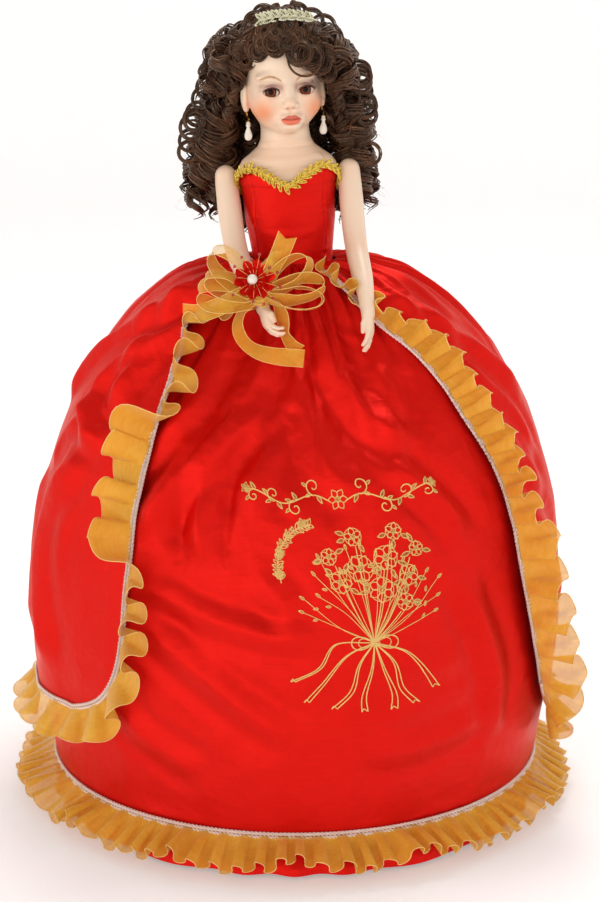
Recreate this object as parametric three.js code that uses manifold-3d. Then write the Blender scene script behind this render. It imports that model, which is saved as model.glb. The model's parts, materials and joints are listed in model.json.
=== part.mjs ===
// A collectible bisque doll in a ball gown, standing on an adjustable metal doll stand.
// Millimetres, +Z up. The doll faces -Y, and left and right are the doll's own: its right hand is at -X.
// The origin is the middle of the stand plate's underside.
import * as THREE from "three";
import { mergeVertices } from "three/addons/utils/BufferGeometryUtils.js";
import Module from "manifold-3d";

const wasm = await Module();
wasm.setup();

// ---- Driving dimensions ----
const GAP = 0.4; // clearance between neighbouring solids
const WAIST_Z = 392; // height of the doll's waist
const BODY_X = -1.5; // the doll stands a little to its right of the gown's centre
const LEAN = THREE.MathUtils.degToRad(-3.5); // the upper body leans to its right, about the waist
const HEAD_TURN = THREE.MathUtils.degToRad(12); // the head looks a little to its left
const HEAD = { x: -1.2, y: -2, z: 519, rx: 27.5, ry: 32, rz: 37 }; // skull ellipsoid
const CROWN_Z = 543; // the skull is open above this height, under the wig
const EYE_X = 12;
const EYE_Y = -25.2;
const EYE_Z = 511;
const EYE_R = 6.6;
const LOBE = { x: 26.5, y: -10.9, z: 496.6 }; // an earring's wire, from the head's middle plane
const BISQUE = 3; // wall thickness of the hollow porcelain
const SHOULDER_Z = 452; // the arm joints' axis
const ARM_X = 43; // centre of an arm's shoulder from the body's middle
const HOLE_R = 3.2; // armhole through which the elastic runs
const WIG = { x: -1, y: 6, z: 523, rx: 50, ry: 43, rz: 42 }; // outline of the hair over the head
const HIP_Z = 322; // the sewn hip joints' axis
const HIP_X = 15.5;
const SOLE_Z = 100; // the shoes hang this high above the stand plate
const PLATE_R = 80; // stand plate
const PLATE_T = 5;
const POST_Y = 46; // the stand's post is behind the legs
const TUBE_R = 6; // outer radius of the stand's lower tube
const TUBE_WALL = 1.4;
const ROD_R = TUBE_R - TUBE_WALL - GAP;
const BODY_DEPTH = 0.76; // the torso's depth as a share of its width

// Gown outline: height and radius pairs from the waist to the hem.
// The front falls closer to the body than the sides and back, which are held out by the hoops.
const FRONT_LINE = [[392, 23], [375, 38], [350, 58], [330, 75], [300, 100], [270, 122], [240, 138], [200, 153], [150, 164], [100, 169], [60, 169], [25, 166]];
const SIDE_LINE = [[392, 30], [388, 48], [380, 78], [370, 95], [350, 117], [330, 134], [300, 155], [270, 168], [240, 178], [200, 186], [150, 190], [120, 190], [90, 187], [60, 183], [25, 178]];
const OVER_HEM_Z = 90; // the overskirt's lower hem
const SKIRT_LEVELS = [392, 387, 379, 365, 345, 315, 275, 230, 170, 120, OVER_HEM_Z, 25];
const PETTICOAT_LEVELS = [384, 376, 360, 320, 270, 220, 150, 90, 32];
const HEM_Z = 25;
const FLOOR_GAP = 2.5; // the ruffle's lowest edge above the floor

// Overskirt front edges: height and azimuth pairs, in degrees from straight ahead.
const RIGHT_EDGE = [[386, 40], [372, 50], [345, 50], [320, 45.5], [270, 42.5], [200, 41.5], [150, 41], [120, 44]];
const LEFT_EDGE = [[386, 34], [372, 37], [350, 48], [320, 53.5], [270, 57.5], [200, 58], [150, 60.5], [120, 63]];
const EDGE_RUFFLE_W = 24;
const EDGE_RUFFLE_T = 9;

// ---- Small tools ----
const V = (x, y, z) => new THREE.Vector3(x, y, z);

// Straight-line interpolation in a table of pairs sorted by falling first value.
function along(table, at) {
  const next = table.findIndex(([height]) => height <= at);
  if (next === 0) return table[0][1];
  if (next < 0) return table[table.length - 1][1];
  const [h0, v0] = table[next - 1];
  const [h1, v1] = table[next];
  return v1 + ((v0 - v1) * (at - h1)) / (h0 - h1);
}

function positionsOnly(geometry) {
  const bare = new THREE.BufferGeometry();
  bare.setAttribute("position", geometry.getAttribute("position").clone());
  if (geometry.index) bare.setIndex(geometry.index.clone());
  return mergeVertices(bare, 1e-3);
}

// Moves every vertex of a geometry through fn(x, y, z) -> Vector3.
function reshape(geometry, fn) {
  const p = geometry.getAttribute("position");
  for (let i = 0; i < p.count; i++) {
    const q = fn(p.getX(i), p.getY(i), p.getZ(i));
    p.setXYZ(i, q.x, q.y, q.z);
  }
  return geometry;
}

function toSolid(geometry) {
  const g = positionsOnly(geometry);
  return new wasm.Manifold(
    new wasm.Mesh({
      numProp: 3,
      vertProperties: g.getAttribute("position").array,
      triVerts: new Uint32Array(g.index.array),
    }),
  );
}

function toGeometry(solid) {
  const m = solid.getMesh();
  const positions = new Float32Array(m.numVert * 3);
  for (let i = 0; i < m.numVert; i++) {
    positions.set(m.vertProperties.subarray(i * m.numProp, i * m.numProp + 3), i * 3);
  }
  const g = new THREE.BufferGeometry();
  g.setAttribute("position", new THREE.BufferAttribute(positions, 3));
  g.setIndex(new THREE.BufferAttribute(m.triVerts, 1));
  return g;
}

const ellipsoid = (x, y, z, rx, ry, rz, around = 24, up = 16) =>
  new THREE.SphereGeometry(1, around, up).rotateX(Math.PI / 2).scale(rx, ry, rz).translate(x, y, z);

const block = (x0, x1, y0, y1, z0, z1) =>
  new THREE.BoxGeometry(x1 - x0, y1 - y0, z1 - z0).translate((x0 + x1) / 2, (y0 + y1) / 2, (z0 + z1) / 2);

// A turned solid about Z from [radius, height] pairs that rise from bottom to top.
const turned = (pairs, segments = 32) =>
  new THREE.LatheGeometry(pairs.map(([r, z]) => new THREE.Vector2(r, z)), segments).rotateX(Math.PI / 2);

const ring = (inner, outer, z0, z1, segments = 32) =>
  turned([[inner, z0], [outer, z0], [outer, z1], [inner, z1], [inner, z0]], segments);

// A solid of changing round section along a curve. profile gives [share of length, radius, flatness] rows.
// flatness scales the section across the curve's binormal, and side is the curve's fixed reference direction.
function limb(points, profile, side = V(1, 0, 0), around = 12) {
  const curve = new THREE.CatmullRomCurve3(points, false, "catmullrom", 0.5);
  const rows = [[0, 0.001, 1], ...profile, [1, 0.001, 1]];
  const lathe = new THREE.LatheGeometry(
    rows.map(([, r], i) => new THREE.Vector2(i === 0 || i === rows.length - 1 ? 0 : r, i)),
    around,
  );
  return reshape(lathe, (x, y, z) => {
    const [share, , flat] = rows[Math.round(y)];
    const centre = curve.getPointAt(share);
    const tangent = curve.getTangentAt(share);
    const across = side.clone().addScaledVector(tangent, -side.dot(tangent)).normalize();
    const deep = V(0, 0, 0).crossVectors(tangent, across);
    return centre.addScaledVector(across, x).addScaledVector(deep, -z * (flat ?? 1));
  });
}

// A box bent onto a surface: fn(u, v, w) -> Vector3, with u and v from 0 to 1 over the sheet and w from 0 to 1 through it.
const bent = (nu, nv, fn) =>
  reshape(new THREE.BoxGeometry(1, 1, 1, nu, nv, 1), (x, y, z) => fn(x + 0.5, y + 0.5, z + 0.5));

// ---- Finishes ----
const finish = (color, roughness, metalness = 0) => new THREE.MeshStandardMaterial({ color, roughness, metalness });
const MATERIALS = {
  bisque: finish(0xf3d9c2, 0.45),
  satin: finish(0xd11010, 0.4),
  organza: finish(0xe0a030, 0.5),
  gold: finish(0xd9b02a, 0.35, 0.4),
  cream: finish(0xe9cdb8, 0.7),
  hair: finish(0x2c1a10, 0.4),
  eye: finish(0x2a1208, 0.05),
  pearl: finish(0xefeae0, 0.2),
  brass: finish(0xc9a13b, 0.3, 0.9),
  steel: finish(0xc8c8cc, 0.3, 0.9),
  enamel: finish(0xf2f2f0, 0.4, 0.3),
  plastic: finish(0x2a2a2c, 0.5),
  muslin: finish(0xece4d4, 0.9),
  net: finish(0xf4f2ee, 0.9),
  elastic: finish(0xf0f0f0, 0.8),
  shoe: finish(0xf6f3ee, 0.25),
  pate: finish(0xe8e4da, 0.9),
};

const doll = new THREE.Group();
const upper = new THREE.Group(); // all that leans with the upper body
const head = new THREE.Group(); // all that turns with the head

function node(parent, name, geometry, material) {
  const mesh = new THREE.Mesh(positionsOnly(geometry), MATERIALS[material]);
  mesh.name = name;
  parent.add(mesh);
  return mesh;
}

// The upper group stands at the waist, and its parts are drawn from the floor up.
upper.position.set(BODY_X, 0, WAIST_Z);
upper.rotation.y = LEAN;
const fromFloor = (geometry) => geometry.translate(0, 0, -WAIST_Z);
const upperNode = (name, geometry, material) => node(upper, name, fromFloor(geometry), material);

// The head group stands at the skull's centre.
head.position.set(HEAD.x, HEAD.y, HEAD.z - WAIST_Z);
head.rotation.z = HEAD_TURN;
const headNode = (name, geometry, material) =>
  node(head, name, geometry.translate(-HEAD.x, -HEAD.y, -HEAD.z), material);
const turnedWithHead = (geometry) =>
  geometry
    .translate(-HEAD.x, -HEAD.y, -HEAD.z)
    .rotateZ(HEAD_TURN)
    .translate(HEAD.x, HEAD.y, HEAD.z);

// ---- Stand ----
function stand() {
  const chamfer = 1.2;
  node(doll, "stand_base", turned([[0, 0], [PLATE_R - chamfer, 0], [PLATE_R, chamfer], [PLATE_R, PLATE_T - chamfer], [PLATE_R - chamfer, PLATE_T], [0, PLATE_T]], 36), "enamel");
  const bore = TUBE_R + GAP;
  const socket = turned([[bore, PLATE_T + GAP], [15, PLATE_T + GAP], [13, 9], [9.5, 20], [bore, 20], [bore, PLATE_T + GAP]], 18);
  node(doll, "post_socket", socket.translate(0, POST_Y, 0), "enamel");
  const tube = ring(TUBE_R - TUBE_WALL, TUBE_R, PLATE_T + GAP, 250, 18);
  node(doll, "stand_tube", tube.translate(0, POST_Y, 0), "steel");
  const bush = turned([[ROD_R + GAP, 250 + GAP], [7.5, 250 + GAP], [8.5, 252], [8.5, 260], [7.5, 262], [ROD_R + GAP, 262], [ROD_R + GAP, 250 + GAP]], 18);
  node(doll, "friction_bush", bush.translate(0, POST_Y, 0), "plastic");
  node(doll, "stand_rod", turned([[0, 150], [ROD_R, 150], [ROD_R, 372], [0, 372]], 16).translate(0, POST_Y, 0), "steel");
}

// A sprung C of flat steel round the hips, with the arm that carries it on the rod.
function waistGrip() {
  const inner = 33;
  const wall = 1.8;
  const half = 6; // half the clip's height
  const z = 372;
  const open = THREE.MathUtils.degToRad(62); // half the mouth, which faces forward
  const clip = bent(28, 1, (u, v, w) => {
    const a = open + u * (2 * Math.PI - 2 * open);
    const r = inner + w * wall;
    return V(r * Math.sin(a), -r * BODY_DEPTH * Math.cos(a), z - half + 2 * half * v);
  });
  const backY = (inner + wall / 2) * BODY_DEPTH;
  const arm = block(-5, 5, backY, POST_Y - 2, z + 1, z + 5);
  const hub = turned([[0, z + GAP], [7, z + GAP], [7, z + 5.5], [0, z + 5.5]], 20).translate(0, POST_Y, 0);
  const joined = toSolid(clip).add(toSolid(arm)).add(toSolid(hub));
  node(doll, "waist_grip", toGeometry(joined).translate(BODY_X + 1.3, 0, 0), "steel");
}

// ---- Body ----
// The neck is rounder than the chest, and the shoulders are flatter than both.
const PLATE_DEPTH = [[486, 0.86], [476, 0.86], [467, 0.66], [458, 0.56], [447, 0.74], [420, BODY_DEPTH]];
const PLATE_LINE = [[28.6, 420], [29.6, 436], [30.0, 446], [33.4, 450.5], [34.7, 455], [34.2, 459], [31, 463.5], [25, 468], [20, 472], [17.4, 477], [16.8, 488]];

function flattened(geometry) {
  return reshape(geometry, (x, y, z) => V(x, y * along(PLATE_DEPTH, z), z));
}

function torsoBody() {
  const line = [[0, 337], [20, 337], [27, 343], [30.4, 356], [29.6, 372], [25.2, 386], [24.6, 396], [26.6, 410], [28, 419.4], [23, 419.4], [23, 436], [20, 440], [0, 440]];
  upperNode("torso_body", turned(line, 20).scale(1, BODY_DEPTH, 1), "muslin");
}

function shoulderHead() {
  const skull = turnedWithHead(ellipsoid(HEAD.x, HEAD.y, HEAD.z, HEAD.rx, HEAD.ry, HEAD.rz, 22, 14));
  const jaw = turnedWithHead(ellipsoid(HEAD.x, -13, 500, 20, 18.5, 19, 16, 10));
  const nose = turnedWithHead(ellipsoid(HEAD.x, -34.5, 503, 3.4, 4.2, 5.4, 8, 6));
  const ears = [-1, 1].map((s) => turnedWithHead(ellipsoid(HEAD.x + s * LOBE.x, LOBE.y, 507.5, 2.8, 5, 8.8, 8, 6)));
  const plate = flattened(turned([[0, 420], ...PLATE_LINE, [0, 488]], 24));
  let solid = toSolid(skull).add(toSolid(jaw)).add(toSolid(nose)).add(toSolid(plate));
  ears.forEach((ear) => (solid = solid.add(toSolid(ear))));

  const cavity = ellipsoid(HEAD.x, HEAD.y, HEAD.z, HEAD.rx - BISQUE, HEAD.ry - BISQUE, HEAD.rz - BISQUE, 18, 10);
  const inside = PLATE_LINE.map(([r, z]) => [r - BISQUE, z + (z > 455 ? -BISQUE : 0)]);
  const bore = flattened(turned([[0, 415], [inside[0][0], 415], ...inside.slice(1), [13.5, 498], [0, 498]], 20));
  solid = solid.subtract(toSolid(turnedWithHead(cavity))).subtract(toSolid(bore));

  // Crown opening, armholes and eye sockets.
  solid = solid.subtract(toSolid(block(-60, 60, -60, 60, CROWN_Z, 600)));
  const hole = new THREE.CylinderGeometry(HOLE_R, HOLE_R, 90, 12).rotateZ(Math.PI / 2).translate(0, 0, SHOULDER_Z);
  solid = solid.subtract(toSolid(hole));
  for (const s of [-1, 1]) {
    const socket = turnedWithHead(ellipsoid(HEAD.x + s * EYE_X, EYE_Y, EYE_Z, EYE_R + GAP, EYE_R + GAP, EYE_R + GAP, 12, 8));
    solid = solid.subtract(toSolid(socket));
  }
  upperNode("shoulder_head", toGeometry(largest(solid, 0.25)), "bisque");
}

// The skull's front at a distance x from the head's middle plane.
const skullFront = (x, z) =>
  HEAD.y - HEAD.ry * Math.sqrt(1 - (x / HEAD.rx) ** 2 - ((z - HEAD.z) / HEAD.rz) ** 2);

function headParts() {
  // Crown cover: the skull's own curve above the cut.
  const outer = toSolid(ellipsoid(HEAD.x, HEAD.y, HEAD.z, HEAD.rx, HEAD.ry, HEAD.rz, 20, 14));
  const inner = toSolid(ellipsoid(HEAD.x, HEAD.y, HEAD.z, HEAD.rx - 2, HEAD.ry - 2, HEAD.rz - 2, 16, 10));
  const above = toSolid(block(-60, 60, -60, 60, CROWN_Z + GAP, 600));
  headNode("head_pate", toGeometry(outer.subtract(inner).intersect(above)), "pate");

  for (const [side, s] of [["right", -1], ["left", 1]]) {
    const ball = ellipsoid(HEAD.x + s * EYE_X, EYE_Y, EYE_Z, EYE_R, EYE_R, EYE_R, 12, 8);
    headNode("eye_" + side, ball, "eye");
    // A strip of lashes that follows the upper lid just in front of the eyeball.
    const lashes = bent(8, 1, (u, v, w) => {
      const a = THREE.MathUtils.degToRad(-52 + 104 * u);
      const dx = 6.4 * Math.sin(a);
      const z = EYE_Z - 0.6 + 4.6 * Math.cos(1.1 * a) + 0.9 * w + 0.5 * v;
      const ball = EYE_Y - Math.sqrt(Math.max(0, EYE_R ** 2 - dx ** 2 - (z - EYE_Z) ** 2));
      return V(HEAD.x + s * EYE_X + dx, Math.min(ball, skullFront(s * EYE_X + dx, z)) - 0.9 - 2.2 * w, z);
    });
    headNode("lashes_" + side, lashes, "hair");
  }
}

function armElastic() {
  const length = 2 * (ARM_X - 17) - 2 * GAP;
  const cord = new THREE.CylinderGeometry(1.2, 1.2, length, 10).rotateZ(Math.PI / 2).translate(0, 0, SHOULDER_Z);
  upperNode("arm_elastic", cord, "elastic");
}

// ---- Bodice ----
const BODY_LINE = [[463.5, 31], [459, 34.2], [455, 34.7], [450.5, 33.4], [446, 31.2], [436, 30.2], [420, 29.2], [408, 27.6], [393, 25.6]];
const BODICE_T = 1.2;

// Top edge of the bodice at an azimuth in radians from straight ahead: two peaks and a dip in front, low at the back.
function bodiceTop(azimuth) {
  const a = Math.abs(Math.atan2(Math.sin(azimuth), Math.cos(azimuth)));
  const table = [[Math.PI, 438], [2.2, 440], [1.57, 444], [1.1, 454], [0.75, 459.5], [0.4, 455], [0.15, 448], [0, 445]];
  return along(table, a);
}

// A point on the clothed body's surface, moved out by a distance.
function bodyPoint(azimuth, z, out) {
  const r = along(BODY_LINE, z);
  const x = (r + out) * Math.sin(azimuth);
  return V(x, -(r * along(PLATE_DEPTH, z) + out) * Math.cos(azimuth), z);
}

// A full ring of cloth between two layers. The levels run from its lower edge to its upper edge, and
// place(azimuth, level, w) -> Vector3 puts each vertex on the body, with w 0 inside and 1 outside.
function clothRing(levels, segments, place) {
  const outer = levels.map((_, i) => new THREE.Vector2(101, i));
  const inner = levels.map((_, i) => new THREE.Vector2(100, i)).reverse();
  const lathe = new THREE.LatheGeometry([...outer, ...inner, outer[0]], segments);
  return reshape(lathe, (x, y, z) => place(Math.atan2(x, z), levels[Math.round(y)], Math.hypot(x, z) - 100));
}

function bodice() {
  const shares = [0, 0.2, 0.4, 0.6, 0.75, 0.88, 1];
  const cloth = clothRing(shares, 30, (a, share, w) => {
    const z = THREE.MathUtils.lerp(393, bodiceTop(a), share);
    return bodyPoint(a, z, 1 + w * BODICE_T);
  });
  upperNode("bodice", cloth, "satin");

  // Gimp braid sewn over the top edge.
  const braid = new THREE.TorusGeometry(100, 2, 5, 36);
  const made = reshape(braid, (x, y, z) => {
    const a = Math.atan2(x, -y);
    const out = Math.hypot(x, y) - 100;
    const beside = THREE.MathUtils.smoothstep(Math.abs(Math.sin(a)), 0.75, 0.95); // thinner under the arms
    const edge = bodyPoint(a, bodiceTop(a) + 1.8 + GAP, 2 - 0.9 * beside + out * (0.45 - 0.15 * beside));
    return edge.add(V(0, 0, z * 0.8));
  });
  upperNode("neckline_braid", made, "gold");
  const band = clothRing([0, 1], 24, (a, share, w) => {
    const r = 26 + w * 1.2;
    return V(r * Math.sin(a), -r * BODY_DEPTH * Math.cos(a), 385.5 + 6.5 * share);
  });
  upperNode("waistband", band, "satin");
}

// ---- Gown ----
function skirtRadius(azimuth, z) {
  const forward = Math.cos(azimuth) > 0 ? Math.cos(azimuth) ** 2 : 0;
  return forward * along(FRONT_LINE, z) + (1 - forward) * along(SIDE_LINE, z);
}

// A point on the gown's surface, moved out along the surface's own slope.
function skirtPoint(azimuth, z, out) {
  const step = 3;
  const top = Math.min(z + step, WAIST_Z);
  const slope = (skirtRadius(azimuth, top - 2 * step) - skirtRadius(azimuth, top)) / (2 * step);
  const size = Math.hypot(1, slope);
  const r = skirtRadius(azimuth, z) + out / size;
  return V(r * Math.sin(azimuth), -r * Math.cos(azimuth), z + (out * slope) / size);
}

function gown() {
  const layer = (levels, segments, low, high) =>
    clothRing([...levels].reverse(), segments, (a, z, w) => skirtPoint(a, z, low + w * (high - low)));
  node(doll, "petticoat", layer(PETTICOAT_LEVELS, 24, -7.6, -6.4), "net");
  node(doll, "skirt", layer(SKIRT_LEVELS, 36, -2.4, -0.9), "satin");

  // Four spring-steel hoops in the petticoat, each following the gown's own plan shape.
  [335, 250, 150, 40].forEach((z, i) => {
    const hoop = reshape(new THREE.TorusGeometry(100, 1.3, 5, 28), (x, y, up) => {
      const a = Math.atan2(x, -y);
      return skirtPoint(a, z, -12.6 + Math.hypot(x, y) - 100).add(V(0, 0, up));
    });
    node(doll, "hoop_" + (i + 1), hoop, "steel");
  });

  const cord = reshape(new THREE.TorusGeometry(100, 1.5, 5, 36), (x, y, up) => {
    const a = Math.atan2(x, -y);
    return skirtPoint(a, HEM_Z + 2, 1.9 + Math.hypot(x, y) - 100).add(V(0, 0, up));
  });
  node(doll, "hem_cord", cord, "cream");

  // Gathered organza under the hem: it flares out to the floor.
  const flare = [[HEM_Z - 1.4, 0], [13, 11], [FLOOR_GAP, 24]]; // height and reach outwards
  const ruffle = clothRing([2, 1, 0], 36, (a, level, w) => {
    const [z, reach] = flare[level];
    const side = 1 - 0.5 * Math.max(0, Math.cos(a)) ** 2;
    const r = skirtRadius(a, HEM_Z) + reach * side + (w > 0.5 ? 0.5 : -2.5);
    return V(r * Math.sin(a), -r * Math.cos(a), z);
  });
  node(doll, "hem_ruffle", ruffle, "organza");
}

// The overskirt is open in front. u runs from its right edge round the back to its left edge.
function overEdge(z, left) {
  const table = left ? LEFT_EDGE : RIGHT_EDGE;
  const corner = 26; // height over which the lower front corners round off
  const turn = 14; // degrees by which they draw back
  const share = Math.max(0, 1 - (z - OVER_HEM_Z) / corner);
  const degrees = along(table, z) + turn * share * share;
  return THREE.MathUtils.degToRad(degrees);
}

function overPoint(u, z, out) {
  const from = -overEdge(z, false);
  const to = overEdge(z, true) - 2 * Math.PI;
  return skirtPoint(from + u * (to - from), z, out);
}

const OVER_OUT = 1.4; // the overskirt's clearance over the gown's surface
const OVER_T = 1.2;

function overskirt() {
  const levels = [387, 379, 365, 345, 315, 275, 230, 170, 120, 108, 98, OVER_HEM_Z];
  const panel = bent(28, levels.length - 1, (u, v, w) => {
    const z = levels[levels.length - 1 - Math.round(v * (levels.length - 1))];
    return overPoint(1 - u, z, OVER_OUT + w * OVER_T);
  });
  node(doll, "overskirt", panel, "satin");

  // Organza ruffles down both front edges, and one round the overskirt's lower hem.
  const trimmed = levels.filter((z) => z < 350 && z > OVER_HEM_Z);
  for (const [side, left] of [["right", false], ["left", true]]) {
    const sign = left ? 1 : -1;
    const strip = bent(2, trimmed.length - 1, (u, v, w) => {
      const z = trimmed[trimmed.length - 1 - Math.round(v * (trimmed.length - 1))];
      const edge = sign * overEdge(z, left);
      const a = edge + ((u - 0.5) * EDGE_RUFFLE_W) / skirtRadius(edge, z);
      return skirtPoint(a, z, OVER_OUT + OVER_T + 1.6 + w * EDGE_RUFFLE_T);
    });
    node(doll, "overskirt_ruffle_" + side, strip, "organza");
  }
  const lower = bent(24, 1, (u, v, w) => {
    const z = OVER_HEM_Z - 3 - 27 * (1 - v);
    const p = overPoint(1 - u, OVER_HEM_Z, 0.6);
    const flare = 2 + 7 * (1 - v) + w * 4;
    const a = Math.atan2(p.x, -p.y);
    return V(p.x + flare * Math.sin(a), p.y - flare * Math.cos(a), z);
  });
  node(doll, "overskirt_ruffle_back", lower, "organza");
}

// ---- Wig ----
function wig() {
  const skull = toSolid(turnedWithHead(ellipsoid(HEAD.x, HEAD.y, HEAD.z, HEAD.rx + GAP, HEAD.ry + GAP, HEAD.rz + GAP, 22, 14)));
  const mass = toSolid(ellipsoid(WIG.x, WIG.y, WIG.z, WIG.rx, WIG.ry, WIG.rz, 20, 14));
  const face = toSolid(turnedWithHead(ellipsoid(1, -36, 505, 25, 34, 31, 16, 10)));
  const top = toSolid(block(-90, 90, -90, 90, 500 + GAP, 700));
  const fringeRegion = (gap) => toSolid(block(-13 - gap, 26 + gap, -90, -27 + gap, 530 - gap, 552 + gap));
  const shell = mass.subtract(skull).subtract(face).intersect(top);
  const crown = shell.subtract(fringeRegion(GAP)).subtract(toSolid(ears()));
  upperNode("wig_crown", toGeometry(largest(crown)), "hair");
  const curl = toSolid(ellipsoid(7, -36, 540, 18, 8, 9, 12, 8)).subtract(skull).intersect(fringeRegion(0));
  upperNode("wig_fringe", toGeometry(largest(curl)), "hair");

  // Side curls fall behind the arms, and the back curls fill the space between them.
  for (const [side, s] of [["right", -1], ["left", 1]]) {
    const drop = limb(
      [V(s * 46, 22, 500), V(s * 57, 25, 470), V(s * 62, 27, 430), V(s * 57, 27, 401)],
      [[0.03, 16, 0.6], [0.3, 22, 0.62], [0.6, 23, 0.62], [0.85, 19, 0.62], [0.97, 11, 0.6]],
    );
    const clear = toSolid(block(s > 0 ? 36 + GAP : -120, s > 0 ? 120 : -36 - GAP, 12, 60, 390, 500));
    upperNode("wig_curls_" + side, toGeometry(largest(toSolid(drop).intersect(clear))), "hair");
  }
  const back = toSolid(ellipsoid(0, 38, 462, 44, 13, 66, 14, 10)).intersect(toSolid(block(-36, 36, 27, 60, 400, 500)));
  upperNode("wig_curls_back", toGeometry(largest(back)), "hair");

  // The headband crosses the crown just behind the fringe.
  const comb = bent(10, 1, (u, v, w) => {
    const a = THREE.MathUtils.degToRad(-36 + 70 * u);
    const y = -29 + 8 * v;
    const share = Math.sqrt(1 - ((y - WIG.y) / WIG.ry) ** 2);
    const out = 1 + 2.4 * w;
    return V(WIG.x + (WIG.rx * share + out) * Math.sin(a), y, WIG.z + (WIG.rz * share + out) * Math.cos(a));
  });
  upperNode("headband", comb, "gold");
}

// Booleans can leave slivers: only the biggest body is kept, without needless vertices.
const largest = (solid, tolerance = 0.12) =>
  solid
    .decompose()
    .sort((a, b) => b.volume() - a.volume())[0]
    .simplify(tolerance);

function ears() {
  const made = [-1, 1].map((s) => toSolid(turnedWithHead(ellipsoid(HEAD.x + s * LOBE.x, LOBE.y, 507, 5.5, 8, 11, 8, 6))));
  return toGeometry(made[0].add(made[1]));
}

// ---- Earrings: a fixed wire at each lobe, and a drop that swings from it ----
// Radius and distance below the wire: the tip, the pearl drop, two small beads and the stem.
const DROP = [[0, 16], [1.6, 15.6], [2.7, 13.6], [2.5, 11.4], [1.1, 7.4], [1.1, 6.6], [1.7, 5.7], [1.1, 4.8], [1.5, 3.9], [1, 3.2], [0.4, 2.8], [0.4, 0], [0, 0]];

function earrings() {
  for (const [side, s] of [["right", -1], ["left", 1]]) {
    const at = V(s * LOBE.x, LOBE.y - HEAD.y, LOBE.z).applyAxisAngle(V(0, 0, 1), HEAD_TURN);
    at.add(V(HEAD.x, HEAD.y, 0));
    const wire = new THREE.TorusGeometry(1.7, 0.3, 5, 10).rotateY(Math.PI / 2).rotateZ(HEAD_TURN);
    upperNode("ear_wire_" + side, wire.translate(at.x, at.y, at.z), "brass");
    const low = at.z - 1.7 - 0.3 - GAP;
    const drop = turned(DROP.map(([r, fall]) => [r, low - fall]), 8);
    upperNode("earring_" + side, drop.translate(at.x, at.y, 0), "pearl");
  }
}

// ---- Arms ----
// Each arm hangs from the shoulder and rests forward on the gown. s is -1 for the right arm.
const ARM_PATH = {
  right: [V(-43.2, 0, 462), V(-43, -2, 446), V(-38, -27, 403), V(-22, -74, 373), V(-15, -94, 349)],
  left: [V(43.2, 0, 462), V(43, -2, 446), V(44.5, -22, 404), V(48.6, -62, 374), V(50, -89, 337)],
};
const ARM_PROFILE = [[0.012, 4.5, 1], [0.045, 7.2, 1], [0.1, 8.2, 1], [0.2, 8.4, 1.02], [0.36, 8, 1], [0.44, 7.7, 1], [0.6, 7.2, 1], [0.72, 5.6, 0.9], [0.78, 5.2, 0.8], [0.86, 6.6, 0.62], [0.93, 5.4, 0.55], [0.985, 2.8, 0.6]];

function arms() {
  for (const [side, s] of [["right", -1], ["left", 1]]) {
    upperNode("arm_" + side, limb(ARM_PATH[side], ARM_PROFILE), "bisque");
    const from = ARM_X - 8.6;
    const to = ARM_X - 17;
    const hook = new THREE.CylinderGeometry(1.2, 1.2, from - to, 10).rotateZ(Math.PI / 2);
    upperNode("arm_hook_" + side, hook.translate((s * (from + to)) / 2, 0, SHOULDER_Z), "steel");
  }
}

// ---- Wrist corsage on the right arm ----
// The bow's parts as centre from the knot, half sizes, and turn in degrees about the line of sight.
const BOW = [
  { at: [0, 0, 0], half: [8, 4.5, 7], turn: 0 }, // knot
  { at: [-20, 4, 12], half: [19, 6, 8], turn: 25 }, // upper right loop
  { at: [-24, 6, -3], half: [21, 5, 7], turn: -8 }, // lower right loop
  { at: [18, 4, 3], half: [19, 6, 9], turn: -12 }, // left loop
  { at: [9, -1, 20], half: [7, 3, 18], turn: -14 }, // tail that stands up
  { at: [-5, -2, -22], half: [5, 3, 20], turn: 8 }, // hanging tails
  { at: [10, -4, -27], half: [5, 3, 20], turn: -24 },
];
const KNOT = V(-24, -77, 383);

function corsage() {
  const curve = new THREE.CatmullRomCurve3(ARM_PATH.right, false, "catmullrom", 0.5);
  const share = 0.7; // the wrist's place along the arm
  const facing = new THREE.Quaternion().setFromUnitVectors(V(0, 0, 1), curve.getTangentAt(share));
  const wrist = curve.getPointAt(share);
  const band = (tube) =>
    new THREE.TorusGeometry(7.8, tube, 5, 16).applyQuaternion(facing).translate(wrist.x, wrist.y, wrist.z);
  upperNode("wrist_band", band(0.9), "cream");

  const arm = limb(ARM_PATH.right, ARM_PROFILE.map(([t, r, flat]) => [t, r + 0.8, flat]));
  const placed = (g) => g.rotateX(Math.PI / 2).translate(KNOT.x + 1, KNOT.y - 5 - GAP, KNOT.z + 3);
  const flowerRoom = placed(turned([[0, -GAP], [12.6, -GAP], [12.6, 16], [0, 16]], 12));
  const loops = BOW.map(({ at, half, turn }) => {
    const loop = ellipsoid(0, 0, 0, ...half, 10, 8).rotateY(THREE.MathUtils.degToRad(turn));
    return toSolid(loop.translate(KNOT.x + at[0], KNOT.y + at[1], KNOT.z + at[2]));
  });
  const clear = [arm, flowerRoom, band(0.9 + GAP)].map(toSolid);
  const bow = clear.reduce((solid, other) => solid.subtract(other), loops.reduce((a, b) => a.add(b)));
  upperNode("wrist_bow", toGeometry(largest(bow)), "organza");

  const petals = turned([[0, 0], [5, 0], [11, 5.5], [12, 7.6], [10, 7.6], [4, 3.4], [0, 3]], 16);
  upperNode("wrist_flower", placed(petals), "satin");
  upperNode("flower_pearl", placed(ellipsoid(0, 0, 7.2, 3.6, 3.6, 3.6, 10, 8)), "pearl");
}

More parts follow.
